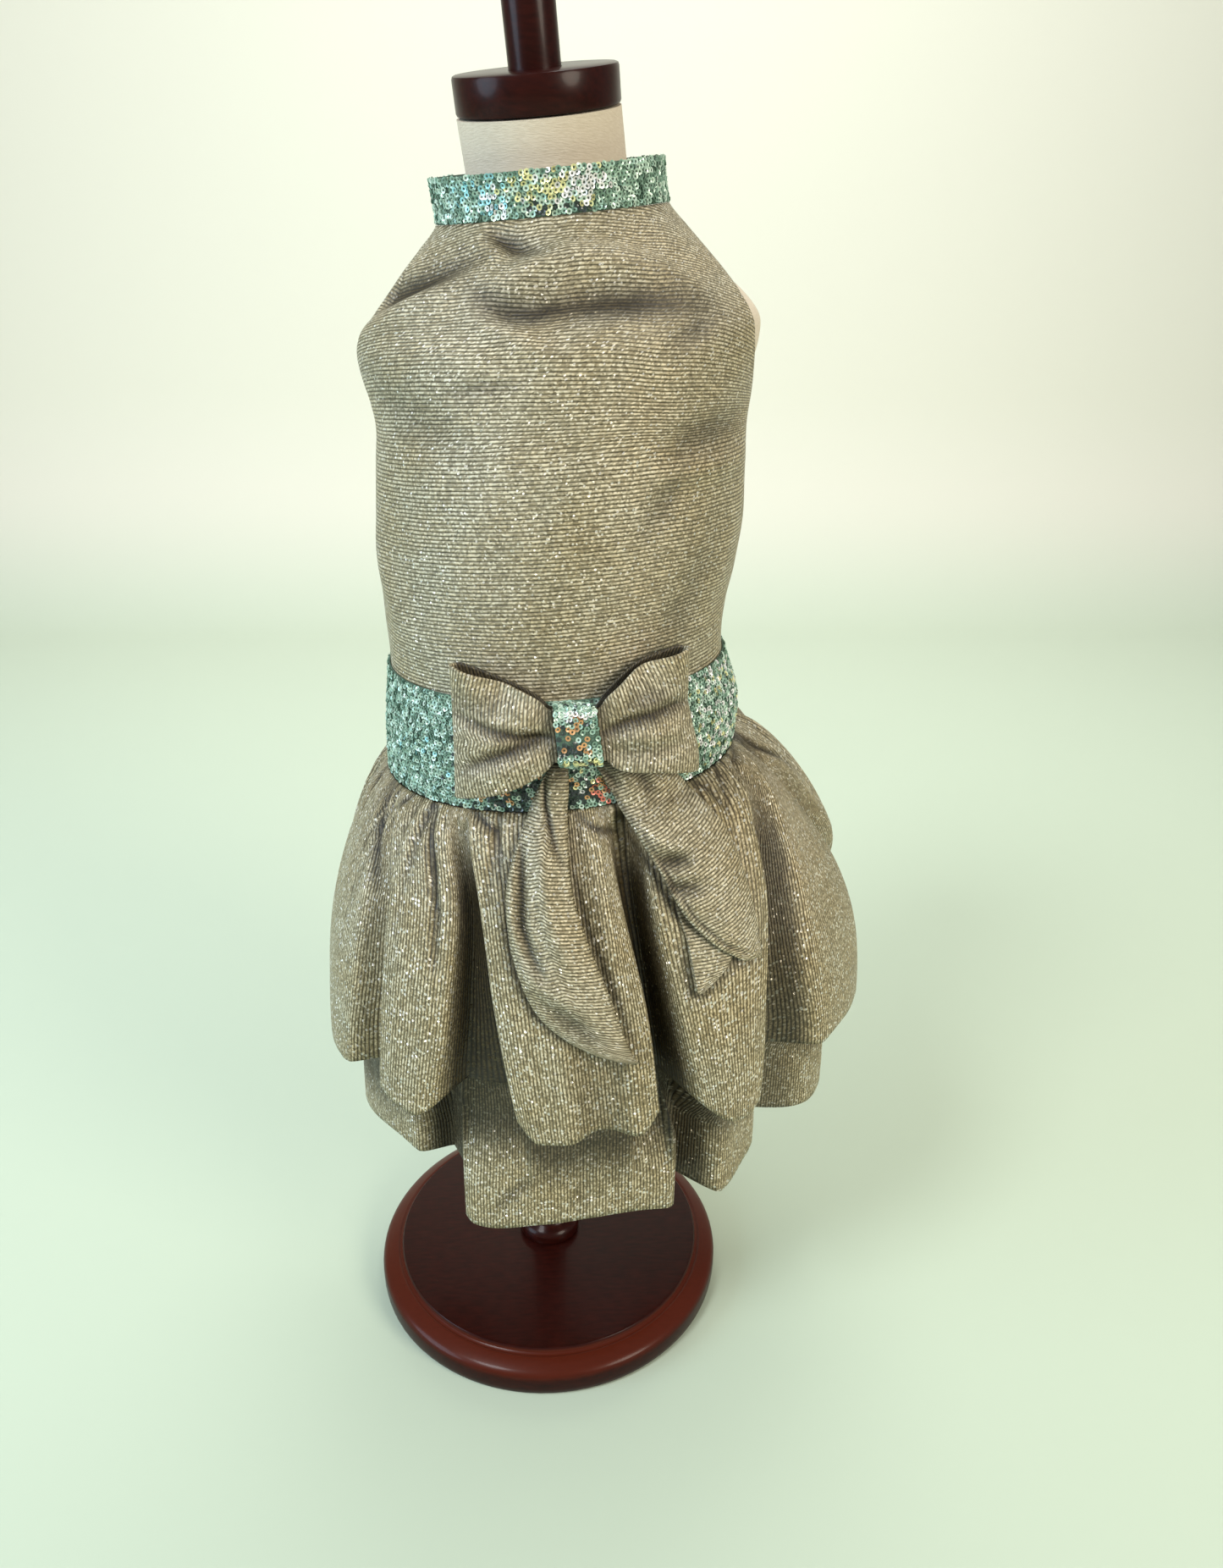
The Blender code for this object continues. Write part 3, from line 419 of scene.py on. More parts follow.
def fold_edges(fold, fall):
    """The azimuths where a valley starts, reaches its floor, leaves it and ends."""
    left, right = (read_curve(tuple(zip(FOLD_FALLS, edge)), ("fall", "azimuth"), "azimuth", fall)
                   for edge in fold[:2])
    return left - fold[4], left, right, right + fold[5]


def fold_strength(fold, azimuth, fall):
    """How much of a valley's depth a place has, and how much with broad shoulders."""
    start, left, right, end = fold_edges(fold, fall)
    return (smooth_step((azimuth - start) / (left - start))
            * smooth_step((end - azimuth) / (end - right)),
            smooth_step((azimuth - left) / SHOULDER_SLOPE + 1.0)
            * smooth_step((right - azimuth) / SHOULDER_SLOPE + 1.0))


def fold_depth(folds, azimuth, fall, run=1.0):
    """The depth of a tier's valleys at a place."""
    depth = 0.0
    for fold in folds:
        own, broad = fold_strength(fold, azimuth, fall / run)
        depth = depth + fold[2] * (own + SHOULDER_SHARE * (broad - own))
    return depth * fall ** FOLD_GROWTH * smooth_step(fall / FOLD_START)


def hem_lift(folds, azimuth, fall, run=1.0):
    """How far the valleys draw the hem up, which rounds the hem beside them."""
    rise = sum(fold[3] * fold_strength(fold, azimuth, fall / run)[1] for fold in folds)
    return rise * np.minimum(fall / run, 1.0) ** LIFT_GROWTH


# %% Small gathers at the seam
def gather_wave(azimuth):
    """The small gathers at the seam: their wave, and their uneven depth and reach."""
    phase = azimuth / GATHER_PITCH
    for share, rate, start in GATHER_DRIFTS:
        phase = phase + share * np.sin(rate * azimuth + start)
    wave = (0.5 + 0.5 * np.cos(2.0 * np.pi * phase)) ** GATHER_SHARPNESS
    uneven = UNEVEN_MIDDLE + UNEVEN_SWING * np.sin(UNEVEN_RATE * azimuth + UNEVEN_START)
    return wave, uneven, GATHER_REACH * (LEAST_REACH + uneven)


def gather_depth(azimuth, fall):
    """The depth of the small gathers at a place, in mm."""
    wave, uneven, reach = gather_wave(azimuth)
    grown = (smooth_step(fall / GATHER_START)
             * np.exp(-np.maximum(fall - GATHER_START, 0.0) / reach))
    return GATHER_DEPTH * uneven * wave * grown


# %% Places on the two tiers
def tier_length(azimuth):
    """The length of the upper tier at an azimuth, in mm, which is a fall of 1."""
    return read_curve(SKIRT_SIZES, LENGTH_COLUMNS, "length", azimuth)


def skirt_place(azimuth, fall, out, lift=0.0):
    """Points at a share of the upper tier's length below the seam, out from the waist."""
    seam = torso_point("cloth", azimuth, WAIST_HEIGHT)
    angle = np.radians(azimuth)
    return np.stack((seam[..., 0] + out * np.sin(angle), seam[..., 1] - out * np.cos(angle),
                     seam[..., 2] - SEAM_GAP - fall * tier_length(azimuth) + lift), axis=-1)


def upper_out(azimuth, fall, folded=True):
    """How far the upper tier stands out from the waist, with or without its folds."""
    flare = read_curve(SKIRT_SIZES, LENGTH_COLUMNS, "flare_upper", azimuth)
    out = SEAM_GAP + SEQUIN_WALL + flare * flare_share(fall)
    if folded:
        out = out - fold_depth(UPPER_FOLDS, azimuth, fall) - gather_depth(azimuth, fall)
        out = np.maximum(out, VALLEY_FLOOR + VALLEY_ROOM * smooth_step(fall / VALLEY_REACH))
    return out


def lower_out(azimuth, fall):
    """How far the lower tier stands out: its own shape, kept under the upper tier."""
    flare = read_curve(SKIRT_SIZES, LENGTH_COLUMNS, "flare_lower", azimuth)
    own = (flare * flare_share(fall / LOWER_REACH)
           - fold_depth(LOWER_FOLDS, azimuth, fall, LOWER_RUN))
    clearance = KNIT_WALL + LAYER_GAP + LOWER_EXTRA_GAP * smooth_step(fall / LOWER_GAP_REACH)
    covered = np.clip(fall - LOWER_DROP, 0.0, 1.0)
    aside = LOWER_ASIDE * smooth_step(fall / LOWER_ASIDE_REACH)
    under = np.minimum.reduce([upper_out(azimuth + side * aside, covered)
                               for side in (-1.0, 0.0, 1.0)]) - clearance
    free = smooth_step((fall - 1.0) / LOWER_FREE_SPAN)
    return np.maximum(np.where(own < under, own, under + (own - under) * free), LOWER_FLOOR)


# %% Strands that run with the folds
def cloth_lines(fall):
    """The azimuths of the cloth's main lengthwise lines, which run with the valleys' edges."""
    lines = [-SKIRT_END]
    for fold in UPPER_FOLDS:
        lines.extend(float(edge) for edge in fold_edges(fold, fall))
    return np.array(lines + [SKIRT_END])


def make_strands():
    """The tiers' lengthwise strands, each a place between the numbers of two main lines."""
    strands = []
    lines = cloth_lines(MIDWAY)
    for number, (low, high) in enumerate(zip(lines, lines[1:])):
        count = max(round((high - low) / STRAND_STEP), 1)
        strands.extend(number + step / count for step in range(count))
    return np.array(strands + [len(lines) - 1.0])


print("strands of the skirt:", len(make_strands()))


# %% [markdown]
# ## Laying cloth on the form
# A real dress is cut flat, then gathered and sewn. Here each piece starts as a grid primitive
# whose corners are moved to their places, with a UV map that measures the cloth in metres, so
# that the ribs of the knit follow every fold. Solidify then gives it its thickness, inwards
# from the outer face. A cloth simulation could find folds of its own, but these have to be
# the photograph's folds.

# %% Helpers that lay a sheet
KNIT_THICKNESS, WELD_REACH = 1.2, 1e-6
TORSO_MIDDLE = (11.0, 6.0, 450.0)
pieces = {}


def add_grid(name, columns, rows):
    """A grid primitive, and the column and row of each of its corners."""
    bpy.ops.object.select_all(action="DESELECT")
    bpy.ops.mesh.primitive_grid_add(x_subdivisions=columns, y_subdivisions=rows, size=1.0)
    piece = bpy.context.object
    piece.name = piece.data.name = name
    corners = np.empty(len(piece.data.vertices) * 3)
    piece.data.vertices.foreach_get("co", corners)
    corners = corners.reshape(-1, 3)
    column = np.rint((corners[:, 0] + 0.5) * columns).astype(int)
    row = np.rint((corners[:, 1] + 0.5) * rows).astype(int)
    return piece, column, row


def running_length(points, axis):
    """The length along rows or columns of points, from their start."""
    steps = np.linalg.norm(np.diff(points, axis=axis), axis=-1)
    return np.concatenate((np.zeros_like(np.take(steps, [0], axis)),
                           np.cumsum(steps, axis=axis)), axis=axis)


def set_cloth_map(piece, first, second, column, row):
    """The UV map, in metres of cloth: first runs across the ribs, second along them."""
    layer = piece.data.uv_layers[0]
    layer.name = "cloth"
    corner = np.empty(len(piece.data.loops), int)
    piece.data.loops.foreach_get("vertex_index", corner)
    flat = np.stack((first[row[corner], column[corner]], second[row[corner], column[corner]]),
                    axis=-1)
    layer.data.foreach_set("uv", (flat * MM).ravel())


def turn_outward(piece, centre):
    """Turn an open sheet's faces away from a centre."""
    middles = np.empty(len(piece.data.polygons) * 3)
    normals = np.empty_like(middles)
    piece.data.polygons.foreach_get("center", middles)
    piece.data.polygons.foreach_get("normal", normals)
    facing = (middles.reshape(-1, 3) - np.array(centre) * MM) * normals.reshape(-1, 3)
    if facing.sum() < 0.0:
        piece.data.flip_normals()


# %% Lay a sheet on its points
def weld():
    """Join the doubled corners of the active piece, where its two ends meet."""
    bpy.ops.object.mode_set(mode="EDIT")
    bpy.ops.mesh.select_all(action="SELECT")
    bpy.ops.mesh.remove_doubles(threshold=WELD_REACH)
    bpy.ops.object.mode_set(mode="OBJECT")


def lay_sheet(name, points, material, ribs="across", thickness=KNIT_THICKNESS, ring=False,
              centre=TORSO_MIDDLE, painted_shade=None, pitch_row=None):
    """A sheet on an array of points by row and column, with its thickness inside it."""
    rows, columns = points.shape[0] - 1, points.shape[1] - 1
    piece, column, row = add_grid(name, columns, rows)
    piece.data.vertices.foreach_set("co", (points[row, column] * MM).ravel())
    # Painted shade in creases and valleys, kept as a point attribute for the knit.
    if painted_shade is not None:
        mask = piece.data.attributes.new("painted_shade", "FLOAT", "POINT")
        mask.data.foreach_set("value", painted_shade[row, column].astype(np.float32))
    sideways, upright = running_length(points, 1), running_length(points, 0)
    if pitch_row is not None:
        sideways = np.broadcast_to(sideways[pitch_row], sideways.shape)
    first, second = (sideways, upright) if ribs == "down" else (upright, sideways)
    set_cloth_map(piece, first, second, column, row)
    turn_outward(piece, centre)
    if ring:
        weld()
    wall = piece.modifiers.new("Cloth thickness", "SOLIDIFY")
    wall.thickness, wall.offset = thickness * MM, -1.0
    bpy.ops.object.modifier_apply(modifier=wall.name)
    bpy.ops.object.shade_smooth()
    piece.data.materials.append(material)
    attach(piece, "root")
    pieces[name] = piece
    area = sum(face.area for face in piece.data.polygons) / 2.0
    print(name, len(piece.data.polygons) * 2, "triangles,", round(area, 4), "m2 of cloth")


# %% [markdown]
# ## The knit
# The dress is a fine rib knit with a metallic thread in it. Ribs stand about 2 mm apart with
# dark ground between them, and the thread flashes in tiny white flecks. Ribs of real geometry
# would need millions of faces, so they are a height pattern on the cloth's own UV map, and the
# flecks are cells of that map that a random value picks, with a painted white glint in them.

# %% Node group for the rib knit
RIB_PITCH, RIB_FLATNESS, RIB_WOBBLE, WOBBLE_SCALE = 0.0020, 0.38, 0.35, 45.0
STITCH_SIZE, STITCH_STRETCH, STITCH_RELIEF = 0.0009, 1.3, 0.35
THREAD_LEAST, THREAD_RANGE = 0.4, 0.8
FLECK_SHARE, FLECK_RIM, FLECK_CORE, FLECK_LEAST, FLECK_RANGE = 0.2, 0.44, 0.22, 0.4, 0.6
MOTTLE_SCALE, MOTTLE, STITCH_HUE = 26.0, 0.8, 0.35
knit_group, start, end = start_group(
    "rib_knit",
    [("Place", "NodeSocketVector", None), ("Sparkle", "NodeSocketFloat", 0.5),
     ("Fleck Size", "NodeSocketFloat", 0.002)],
    [("Thread", "NodeSocketFloat"), ("Fleck", "NodeSocketFloat"), ("Height", "NodeSocketFloat"),
     ("Hue", "NodeSocketFloat"), ("Lean", "NodeSocketVector")])
across, along, _ = wire(knit_group, "ShaderNodeSeparateXYZ", start.outputs["Place"]).outputs


def cloth_cells(size, stretch=1.0):
    """A random colour for each cell of the cloth's map, and the distance from its middle."""
    cells = wire(knit_group, "ShaderNodeCombineXYZ", calc(knit_group, "DIVIDE", across, size),
                 calc(knit_group, "DIVIDE", calc(knit_group, "DIVIDE", along, size), stretch))
    node = wire(knit_group, "ShaderNodeTexVoronoi", cells.outputs[0], voronoi_dimensions="2D")
    node.inputs["Scale"].default_value = 1.0
    values = wire(knit_group, "ShaderNodeSeparateColor", node.outputs["Color"]).outputs
    return values, node.outputs["Distance"], node.outputs["Color"]


wobble = wire(knit_group, "ShaderNodeTexNoise", start.outputs["Place"], noise_dimensions="2D")
wobble.inputs["Scale"].default_value = WOBBLE_SCALE
phase = calc(knit_group, "MULTIPLY_ADD", wobble.outputs[0], RIB_WOBBLE,
             calc(knit_group, "DIVIDE", across, RIB_PITCH))
crest = calc(knit_group, "MULTIPLY_ADD",
             calc(knit_group, "COSINE", calc(knit_group, "MULTIPLY", phase, 2.0 * math.pi)),
             0.5, 0.5)
ground = calc(knit_group, "POWER", crest, RIB_FLATNESS)
(light, tone, _), _, _ = cloth_cells(STITCH_SIZE, STITCH_STRETCH)
thread = calc(knit_group, "MULTIPLY", ground,
              calc(knit_group, "MULTIPLY_ADD", light, THREAD_RANGE, THREAD_LEAST))
(chance, size, _), away, facet = cloth_cells(start.outputs["Fleck Size"])
rare = calc(knit_group, "MULTIPLY_ADD", start.outputs["Sparkle"], -FLECK_SHARE, 1.0)
fleck = calc(knit_group, "MULTIPLY", calc(knit_group, "GREATER_THAN", chance, rare),
             step_up(knit_group, away, FLECK_RIM, FLECK_CORE))
lean = wire(knit_group, "ShaderNodeVectorMath", facet, (0.5, 0.5, 0.5), operation="SUBTRACT")
lean = wire(knit_group, "ShaderNodeVectorMath", lean.outputs[0], operation="SCALE")
knit_group.links.new(fleck, lean.inputs["Scale"])
fleck = calc(knit_group, "MULTIPLY", fleck,
             calc(knit_group, "MULTIPLY_ADD", size, FLECK_RANGE, FLECK_LEAST))
height = calc(knit_group, "MULTIPLY_ADD", light, STITCH_RELIEF, ground)
broad = wire(knit_group, "ShaderNodeTexNoise", start.outputs["Place"], noise_dimensions="2D")
broad.inputs["Scale"].default_value = MOTTLE_SCALE
hue = calc(knit_group, "MULTIPLY_ADD", tone, STITCH_HUE,
           calc(knit_group, "MULTIPLY", broad.outputs[0], MOTTLE))
for socket, value in zip(end.inputs, (thread, fleck, height, hue, lean.outputs[0])):
    knit_group.links.new(value, socket)
print("rib_knit:", len(knit_group.nodes), "nodes")


# %% Knit material
KNIT_ROUGHNESS, KNIT_METAL, FLECK_POLISH, FLECK_METAL = 0.5, 0.1, 0.25, 0.5
BUMP_STRENGTH, BUMP_DISTANCE = 0.7, 0.0004
DARK_END, MID_END, LIGHT_END = 0.05, 0.55, 1.15
# The flecks' near-white colour is a painted glint of the metallic thread; their lower roughness and
# added metal are real.
WARM_FROM, WARM_TO, WARM, PAINTED_GLINT = 0.3, 1.0, paint(246, 236, 216), paint(255, 253, 244)


def make_knit(name, dark, mid, light, painted_shade, sparkle, fleck_size):
    """A knit of three thread colours, with painted glints in its flecks and painted shade of one
    colour in the cloth's creases and valleys.
    """
    material, tree, shader = start_material(name, KNIT_ROUGHNESS, KNIT_METAL)
    cloth_map = wire(tree, "ShaderNodeUVMap", uv_map="cloth").outputs[0]
    # Painted shade, read from the sheet's point attribute.
    deep = wire(tree, "ShaderNodeAttribute", attribute_name="painted_shade").outputs["Fac"]
    knit = place_group(tree, knit_group, Place=cloth_map, Sparkle=sparkle, Fleck_Size=fleck_size)
    thread = knit.outputs["Thread"]
    low = blend_colour(tree, step_up(tree, thread, DARK_END, MID_END), dark, mid)
    body = blend_colour(tree, step_up(tree, thread, MID_END, LIGHT_END), low, light)
    body = blend_colour(tree, step_up(tree, knit.outputs["Hue"], WARM_FROM, WARM_TO), body,
                        WARM, "MULTIPLY")
    body = blend_colour(tree, knit.outputs["Fleck"], body, PAINTED_GLINT)
    body = blend_colour(tree, deep, body, painted_shade, "MULTIPLY")
    tree.links.new(body, shader.inputs["Base Color"])
    rough = calc(tree, "MULTIPLY_ADD", knit.outputs["Fleck"], -FLECK_POLISH, KNIT_ROUGHNESS)
    tree.links.new(rough, shader.inputs["Roughness"])
    bump = wire(tree, "ShaderNodeBump")
    bump.inputs["Strength"].default_value = BUMP_STRENGTH
    bump.inputs["Distance"].default_value = BUMP_DISTANCE
    tree.links.new(knit.outputs["Height"], bump.inputs["Height"])
    leaning = wire(tree, "ShaderNodeVectorMath", bump.outputs[0], knit.outputs["Lean"],
                   operation="ADD").outputs[0]
    facing = wire(tree, "ShaderNodeVectorMath", leaning, operation="NORMALIZE").outputs[0]
    tree.links.new(facing, shader.inputs["Normal"])
    shine = calc(tree, "MULTIPLY_ADD", knit.outputs["Fleck"], FLECK_METAL, KNIT_METAL)
    tree.links.new(shine, shader.inputs["Metallic"])
    return material


# The threads' dark, middle and light colours, and the colour of the painted shade in creases and
# valleys.
THREADS = (paint(58, 52, 33), paint(140, 132, 107), paint(211, 204, 180))
SKIRT_THREADS = (paint(53, 46, 28), paint(135, 125, 95), paint(214, 205, 177))
PAINTED_SHADE_COLOUR = paint(79, 69, 38)
knit = make_knit("champagne_rib_knit", *THREADS, PAINTED_SHADE_COLOUR, 0.4, 0.0017)
skirt_knit = make_knit("champagne_skirt_knit", *SKIRT_THREADS, PAINTED_SHADE_COLOUR, 1.0, 0.0022)
print("knits:", knit.name, "and", skirt_knit.name)

# %% [markdown]
# ## The bodice
# The bodice has a back panel, between the armholes, and a belly panel, which meet at the side
# seams. Soft creases are added to the plain form: each is a line over the cloth that pushes it
# in or lets it stand out, with painted shade along it. They could be sculpted by hand, but a
# short table keeps them exact.

# %% Creases of the bodice
# Each crease: depth inwards in mm, width in mm, painted shade, and its line of azimuth and height.
BACK_CREASES = (
    (-6.5, 8.0, 0.0, ((-24, 680), (-15, 684), (-7, 690), (4, 693), (18, 691), (31, 686),
                      (42, 676))),
    (2.6, 6.0, 1.0, ((-28, 682), (-21, 676), (-15, 672), (-8, 671), (0, 673), (8, 674),
                     (18, 674))),
    (1.8, 7.5, 1.0, ((-16, 671), (2, 673), (14, 673), (28, 672), (46, 668))),
    (-3.0, 6.0, 0.0, ((-24, 670), (-16, 662), (-9, 655), (-3, 647))),
    (3.6, 4.0, 1.0, ((-30, 713), (-27, 709), (-20, 704), (-13, 700), (-5, 696))),
    (-2.4, 5.0, 0.0, ((-38, 708), (-26, 702), (-18, 696))),
    (4.6, 7.5, 1.0, ((-84, 672), (-70, 680), (-55, 686), (-41, 691), (-30, 696))),
    (-3.5, 8.0, 0.0, ((-76, 660), (-58, 669), (-46, 680), (-35, 686), (-22, 690))),
    (0.0, 8.0, 0.45, ((26, 680), (36, 674), (46, 668))),
    (1.8, 6.5, 0.6, ((28, 653), (36, 659), (43, 664))),
    (1.2, 4.0, 0.45, ((-31, 631), (-22, 635), (-12, 636))),
    (-3.0, 7.0, 0.0, ((26, 589), (38, 592), (54, 594), (69, 595))),
    (2.2, 8.5, 0.5, ((29, 600), (38, 607), (50, 611), (63, 613))),
    (1.6, 8.0, 0.4, ((23, 562), (29, 579), (35, 590))),
    (1.6, 14.0, 0.3, ((-70, 640), (-48, 620), (-30, 604))),
    (-2.0, 14.0, 0.0, ((-80, 560), (-62, 520), (-40, 490))),
    (1.6, 12.0, 0.3, ((50, 560), (40, 520), (34, 490))),
)
BELLY_CREASES = (
    (-5.0, 9.0, 0.0, ((130, 684), (155, 690), (180, 692), (205, 690), (230, 684))),
    (2.2, 8.0, 0.8, ((138, 672), (160, 667), (182, 668), (204, 666), (222, 671))),
    (0.8, 12.0, 0.2, ((120, 600), (146, 612), (170, 616))),
    (-1.0, 12.0, 0.0, ((244, 606), (224, 592), (196, 586))),
    (0.8, 12.0, 0.2, ((150, 520), (180, 512), (214, 520))),
)
CREASE_ENDS, CREASE_FULLNESS = 0.06, 0.7


def crease_shape(creases, across, along, scale=1.0):
    """How far in each point is pushed, and its painted shade. Scale is mm for 1 across."""
    inward, dark = np.zeros_like(across), np.zeros_like(across)
    for depth, width, shade, line in creases:
        nearest, share = np.full_like(across, 1e6), np.zeros_like(across)
        for number, ((a0, h0), (a1, h1)) in enumerate(zip(line, line[1:])):
            run, rise = (a1 - a0) * scale, h1 - h0
            reach = ((across - a0) * scale * run + (along - h0) * rise) / (run ** 2 + rise ** 2)
            reach = np.clip(reach, 0.0, 1.0)
            away = np.hypot((across - a0) * scale - reach * run, along - h0 - reach * rise)
            share = np.where(away < nearest, (number + reach) / (len(line) - 1), share)
            nearest = np.minimum(away, nearest)
        fullness = np.sin(np.pi * (CREASE_ENDS + (1.0 - 2.0 * CREASE_ENDS) * share))
        strength = np.exp(-(nearest / width) ** 2) * fullness ** CREASE_FULLNESS
        inward += depth * strength
        dark = np.maximum(dark, shade * strength)
    return inward, dark


print("creases of the bodice:", len(BACK_CREASES) + len(BELLY_CREASES))

# %% Panels of the bodice
FORM_CLEARANCE, PANEL_ROWS, PANEL_WAVE = 0.3, 146, 0.25
TOP_MARGIN, BELT_MARGIN, UNDER_BELT, SIDE_MARGIN = 9.0, 10.0, 482.0, 0.03


def panel(name, left, right, columns, creases):
    """A bodice panel between two edges, given as functions of the height."""
    height = np.linspace(WAIST_HEIGHT, BODICE_TOP, PANEL_ROWS + 1)[:, None]
    share = np.linspace(0.0, 1.0, columns + 1)[None, :]
    azimuth = left(height) + (right(height) - left(height)) * share
    height = np.broadcast_to(height, azimuth.shape)
    arc = np.radians(read_curve(SECTIONS, SECTION_COLUMNS, "cloth_half_depth", height))
    inward, dark = crease_shape(creases, azimuth, height, arc)
    hold = (smooth_step((BODICE_TOP - height) / TOP_MARGIN)
            * smooth_step((height - UNDER_BELT) / BELT_MARGIN))
    hold = hold * smooth_step(share / SIDE_MARGIN) * smooth_step((1.0 - share) / SIDE_MARGIN)
    wave = (PANEL_WAVE * np.sin(azimuth * 0.21 + height * 0.05)
            * np.sin(height * 0.11 - azimuth * 0.07))
    room = [read_curve(SECTIONS, SECTION_COLUMNS, "cloth_half_" + side, height)
            - read_curve(SECTIONS, SECTION_COLUMNS, "form_half_" + side, height)
            for side in ("width", "depth")]
    room = np.maximum(np.minimum(*room) - KNIT_THICKNESS - FORM_CLEARANCE, 0.0)
    points = cloth_point(azimuth, height, -np.minimum(inward + wave, room) * hold)
    lay_sheet(name, points, knit, ribs="across", painted_shade=dark * hold)


def edge(column, height):
    """The azimuth of a panel's edge at a height."""
    return read_curve(PANEL_EDGES, PANEL_COLUMNS, column, height)


panel("bodice_back_knit", lambda h: np.maximum(edge("back_left", h), -SIDE_SEAM) + SEAM_HALF,
      lambda h: np.minimum(edge("back_right", h), SIDE_SEAM) - SEAM_HALF, 160, BACK_CREASES)
panel("bodice_belly_knit", lambda h: np.maximum(edge("belly_edge", h), SIDE_SEAM) + SEAM_HALF,
      lambda h: 360.0 - np.maximum(edge("belly_edge", h), SIDE_SEAM) - SEAM_HALF, 90,
      BELLY_CREASES)

# %% [markdown]
# ## The skirt
# Both tiers are gathered into the waist seam, fall in deep folds and flare towards their hems.
# The upper one covers all but the foot of the lower one. Their ribs run down, so the UV map
# keeps one rib on one lengthwise line of the cloth, closer together at the gathers. A cloth
# simulation would gather them too, but each run of it would fold them in other places. A row of
# the folds' table is one fold, so each can be moved until it matches the photograph.

# %% Creases of the skirt
# As those of the bodice, but with mm below the waist seam in place of the height.
UPPER_CREASES = (
    (2.0, 2.2, 0.9, ((-117, -12), (-118, 2), (-119, 20), (-121, 44))),
    (3.0, 2.2, 1.0, ((-101, 24), (-96, 12), (-91, 2), (-88, -8))),
    (2.0, 1.8, 1.0, ((-80, -10), (-79, 4), (-77, 16), (-76, 30))),
    (3.0, 2.6, 1.0, ((-68, -12), (-62, 15), (-58, 31), (-53, 54))),
    (2.6, 1.9, 1.0, ((-56.5, 22), (-55, 7), (-52, 0), (-49, -10))),
    (3.6, 2.4, 1.0, ((-44, -12), (-40, 4), (-38.5, 13), (-34.5, 31), (-31.5, 53), (-30.5, 82))),
    (2.0, 2.2, 1.0, ((-34, -10), (-27, 1), (-19, 9), (-17, 18), (-16, 34))),
    (2.0, 1.9, 1.0, ((0, -4), (7, 8), (10.5, 11), (17, 18))),
    (1.6, 4.6, 0.5, ((13, 108), (11, 126), (10, 141), (12, 160))),
    (1.6, 1.8, 1.0, ((38, -8), (42, 1), (44.5, 6), (47, 18))),
    (2.4, 1.9, 1.0, ((58, -8), (54, 0), (50.5, 6), (46, 20))),
    (3.4, 2.4, 1.0, ((80, -10), (70, 0), (61.5, 7), (57.5, 20), (54, 34), (50.5, 56))),
    (1.6, 5.0, 0.5, ((58, 46), (55, 69), (54, 94))),
    (3.0, 2.2, 1.0, ((80, -12), (83, 2), (84, 11), (90, 23), (95, 40))),
    (2.0, 2.2, 0.9, ((102, -12), (105, 0), (108, 16), (112, 36))),
    (2.0, 2.2, 0.9, ((122, -12), (123, 2), (124, 18), (126, 34))),
)
# Painted contact shadows beside the bow's tails, where they touch the skirt, each with a shallow
# groove.
TAIL_CONTACT_SHADOWS = (
    (0.8, 2.4, 0.9, ((-8, -6), (-12, 8), (-14.6, 32), (-13.6, 58), (-11, 81), (-7, 102),
                     (-1, 116), (6, 127), (13, 133), (17, 134))),
    (0.8, 2.0, 0.8, ((0.6, -6), (1.4, 8), (2, 32), (5, 58), (8.2, 80), (10.8, 100),
                     (12.6, 114), (15, 130))),
    (0.8, 2.8, 1.0, ((10, -8), (16.4, 10), (21.4, 33), (25.4, 57), (30.6, 77), (36.6, 90),
                     (42, 90), (43, 80))),
    (0.8, 2.2, 0.9, ((25.6, 74), (26.4, 89), (27, 104), (29, 103), (34.6, 92), (38, 84))),
)
LOWER_CREASES = (
    (1.4, 5.0, 0.4, ((-70, 220), (-72, 200), (-73, 176))),
    (1.4, 4.0, 0.55, ((-22, 266), (-17, 250), (-12, 240), (-4, 236))),
    (1.2, 6.0, 0.35, ((4, 266), (5, 240), (6, 214))),
    (1.4, 5.0, 0.4, ((62, 250), (60, 225), (59, 205))),
)
print("creases of the skirt:", len(UPPER_CREASES) + len(LOWER_CREASES))

# %% Painted shade in the skirt's valleys and gathers, and under its upper tier
# How dark the painted shade in each fold of the tables UPPER_FOLDS and LOWER_FOLDS is.
UPPER_SHADES = (0.7, 0.5, 0.22, 0.97, 0.3, 1.0, 0.8, 0.2, 0.5)
LOWER_SHADES = (0.6, 0.6, 0.9, 0.85, 0.6, 0.6)
SHADE_START, SLOPE_SHADE, GATHER_SHADE = 0.25, 2.2, 1.1
HEM_SHADE, SHADE_BELOW, SHADE_FADE = 0.85, 0.38, 0.2


def valley_shade(folds, shades, azimuth, fall, run):
    """The painted shade in the folds, from the top of their slopes on."""
    shade = np.zeros_like(azimuth)
    for fold, full in zip(folds, shades):
        own, _ = fold_strength(fold, azimuth, fall / run)
        shade = np.maximum(shade, full * smooth_step(SLOPE_SHADE * own))
    return shade * smooth_step(fall / SHADE_START)


def gather_shade(azimuth, fall):
    """The painted shade in the gathers, which is most right at the seam."""
    wave, uneven, reach = gather_wave(azimuth)
    return GATHER_SHADE * uneven * wave * np.exp(-fall / reach)


def hem_shade(azimuth, fall):
    """The painted shadow on the lower tier under the upper one and just below its hem."""
    hem = read_curve(SKIRT_SIZES, LENGTH_COLUMNS, "reach_upper", azimuth)
    hem = hem - hem_lift(UPPER_FOLDS, azimuth, hem) / tier_length(azimuth)
    return HEM_SHADE * smooth_step((hem + SHADE_BELOW - fall) / SHADE_FADE)


print("folds with a shade:", len(UPPER_SHADES) + len(LOWER_SHADES))

